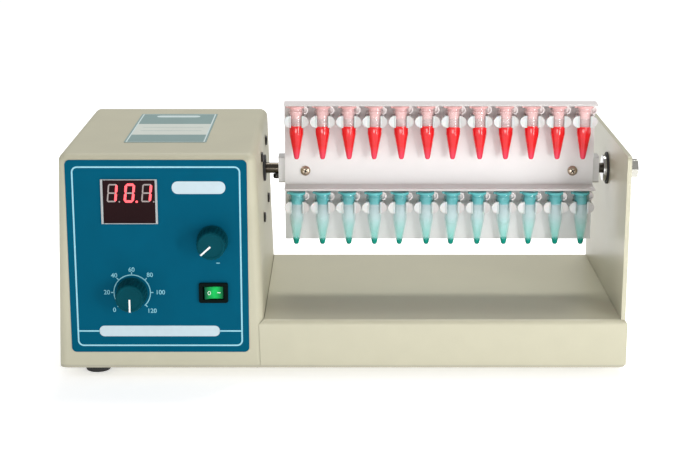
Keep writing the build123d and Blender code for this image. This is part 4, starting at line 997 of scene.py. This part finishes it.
# ---- Mains inlet and fuse ----
FLANGE_THICKNESS, INLET_WELL, INLET_DEPTH = 2.5, 19.0, 24.4
inlet_centre = centre_mm("power_inlet")
on_inlet = back_place(inlet_centre.x, box_mm("power_inlet")[1].y, inlet_centre.z)
inlet_recess = rounded_rect(23.9, 16.5, 1.2, 4)
inlet_sides = rounded_rect(27.0, 19.4, 1.0, 4)
inlet = Piece()
inlet.add(ring_prism(rounded_rect(49.8, 22.8, 5.0, 4), inlet_recess, -FLANGE_THICKNESS, 0.0), on_inlet)
inlet.add(ring_prism(inlet_sides, inlet_recess, -INLET_WELL, OVERLAP - FLANGE_THICKNESS), on_inlet)
inlet.add(prism(inlet_sides, -INLET_DEPTH, OVERLAP - INLET_WELL), on_inlet)
inlet.add(ring_prism(rounded_rect(28.6, 21.0, 1.6, 4), rounded_rect(25.4, 18.0, 1.3, 4), -0.3, 0.0), on_inlet)
inlet.make("inlet_shroud", "base", "inlet_black", sharp=30, bevel=0.3, replaces=("power_inlet",))
blades = Piece()
for low, high in islands("inlet_pins"):
    middle = (low + high) / 2
    blade = prism(rounded_rect(1.9, 3.9, 0.5, 3), low.y - high.y, 0.0)
    blades.add(blade, back_place(middle.x, high.y, middle.z))
blades.make("inlet_pin_blades", "base", "nut_nickel", bevel=0.35, replaces=("inlet_pins",))

KNURLS, KNURL_DEPTH = 24, 0.3
fuse_centre = centre_mm("fuse_cap")
post_low, post_high = box_mm("fuse_holder")
fuse_place = back_place(fuse_centre.x, post_high.y, fuse_centre.z)
fuse_height = box_mm("fuse_cap")[1].y - post_high.y
post_bottom = post_low.y - post_high.y
post = Piece()
outline = [(0, post_bottom), (5.9, post_bottom), (5.9, -2), (8.6, -2), (8.6, 0), (0, 0)]
post.add(lathe(rounded_path(outline, [0.4, 0, 0.3, 0.5], 3), 48), fuse_place)
post.make("fuse_post", "base", "inlet_black", replaces=("fuse_holder",))


def knurl(reach, level, angle):
    """Shallow grooves down the fuse cap's side, short of its top."""
    if reach > 6.9 and level < fuse_height - 1.6:
        return reach - KNURL_DEPTH * (0.5 + 0.5 * math.cos(angle * KNURLS))
    return reach


cap = Piece()
outline = [(0, 0), (6.6, 0), (7.3, 0.6), (7.3, fuse_height - 1.8), (6.5, fuse_height - 0.1),
           (0, fuse_height - 0.1)]
cap.add(lathe(rounded_path(outline, [0.2, 0.3, 0.5, 0.8], 4), 6 * KNURLS, knurl), fuse_place)
# The slot across the cap's top is painted shade.
cap.add(prism(rounded_rect(10.0, 1.2, 0.3, 2), fuse_height - 0.3, fuse_height - 0.05), fuse_place, 1)
cap.make("fuse_cap_knurled", "base", "inlet_black", [surfaces["inlet_black"], recess_dark], 30,
         replaces=("fuse_cap",))

# ---- Top label ----
LABEL_SUNK, LABEL_PRINT = 0.1, 0.02
LABEL_EDGE, LABEL_LINE = 1.2, 1.0
BACK_BAND, FRONT_BAND, BAND_INSET = 41.0, 27.0, 2.0
label_low, label_high = box_mm("top_label")
label_centre = centre_mm("top_label")
label_width, label_depth = label_high.x - label_low.x, label_high.y - label_low.y
label = Piece()


def label_rect(inset, radius):
    """The label's outline moved inwards."""
    return rounded_rect(label_width - 2 * inset, label_depth - 2 * inset, radius)


def on_label(y):
    """On the label's top at a distance behind its middle."""
    return top_place(label_centre.x, label_centre.y + y, label_high.z)


# A dark edge and a pale line round the label, two dark bands, a pale pill and two fine dark rules.
label_inset = LABEL_EDGE + LABEL_LINE
label.add(ring_prism(label_rect(0.0, 1.4), label_rect(LABEL_EDGE, 0.8), -LABEL_SUNK, 0.015), on_label(0.0))
label.add(ring_prism(label_rect(LABEL_EDGE, 0.8), label_rect(label_inset, 0.5), -LABEL_SUNK, LABEL_PRINT),
          on_label(0.0), 1)
for depth, y in ((BACK_BAND, label_depth / 2 - BAND_INSET - BACK_BAND / 2),
                 (FRONT_BAND, BAND_INSET + FRONT_BAND / 2 - label_depth / 2)):
    band = rounded_rect(label_width - 2 * label_inset, depth, 0.4, 2)
    label.add(prism(band, -LABEL_SUNK, LABEL_PRINT), on_label(y))
label.add(prism(rounded_rect(34.0, 8.0, 3.6), -LABEL_SUNK, 0.03), on_label(label_depth / 2 - 11.0), 1)
for y in (1.0, -13.0):
    rule = rounded_rect(label_width - 14.0, 0.7, 0.1, 1)
    label.add(prism(rule, -LABEL_SUNK, LABEL_PRINT), on_label(y))
label.make("top_label_bands", "base", "label_pale", [label_band, label_line])

# ---- Floor, light and camera ----
FLOOR_REACH = 12
floor_mesh = bpy.data.meshes.new("floor")
corners = [(FLOOR_REACH * x, FLOOR_REACH * y, 0) for x, y in ((-1, -1), (1, -1), (1, 1), (-1, 1))]
floor_mesh.from_pydata(corners, [], [(0, 1, 2, 3)])
floor = bpy.data.objects.new("floor", floor_mesh)
link(floor)
floor_mesh.materials.append(material("floor_pale", (0.94, 0.94, 0.94), 0.9, mottle=0.005, mottle_size=400,
                                     glow=(1.0, 1.0, 1.0), glow_strength=0.5))
floor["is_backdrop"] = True

world = bpy.data.worlds.new("studio")
world.use_nodes = True
background = world.node_tree.nodes["Background"]
background.inputs["Color"].default_value = (1, 1, 1, 1)
background.inputs["Strength"].default_value = 0.43
bpy.context.scene.world = world


def soft_light(name, place, target, size, power):
    """A rectangular light in metres and watts that faces a target."""
    light = bpy.data.lights.new(name, "AREA")
    light.shape = "RECTANGLE"
    light.size, light.size_y = size
    light.energy = power
    holder = bpy.data.objects.new(name, light)
    holder.location = place
    holder.rotation_euler = (Vector(target) - Vector(place)).to_track_quat("-Z", "Y").to_euler()
    link(holder)


soft_light("key", (0.6, -0.74, 0.25), (0.0, 0, 0.08), (0.26, 0.26), 2.4)
soft_light("low_fill", (0.42, -0.62, 0.065), (0.1, 0, 0.15), (0.07, 0.12), 0.65)
soft_light("under_fill", (-0.1, -0.95, 0.06), (0.05, 0, 0.17), (0.5, 0.1), 1.3)
soft_light("left_fill", (-1.5, -0.9, 1.5), (0.1, 0, 0.1), (0.9, 0.9), 3)
soft_light("top", (0.2, 0.8, 2.0), (0.0, 0, 0.08), (0.9, 0.7), 25)

camera = bpy.data.cameras.new("camera")
camera.sensor_width = SENSOR_WIDTH
camera.lens = CAMERA_FOCAL / IMAGE_WIDTH * SENSOR_WIDTH
camera.shift_x = -(PRINCIPAL_X - IMAGE_WIDTH / 2) / IMAGE_WIDTH
camera.clip_start, camera.clip_end = 0.05, 50
viewpoint = bpy.data.objects.new("camera", camera)
viewpoint.location = Vector(CAMERA_PLACE) * MM
viewpoint.rotation_euler = (math.radians(90 - CAMERA_PITCH), 0, 0)
link(viewpoint)
bpy.context.scene.camera = viewpoint
bpy.context.scene.view_settings.view_transform = "Standard"

low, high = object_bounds()
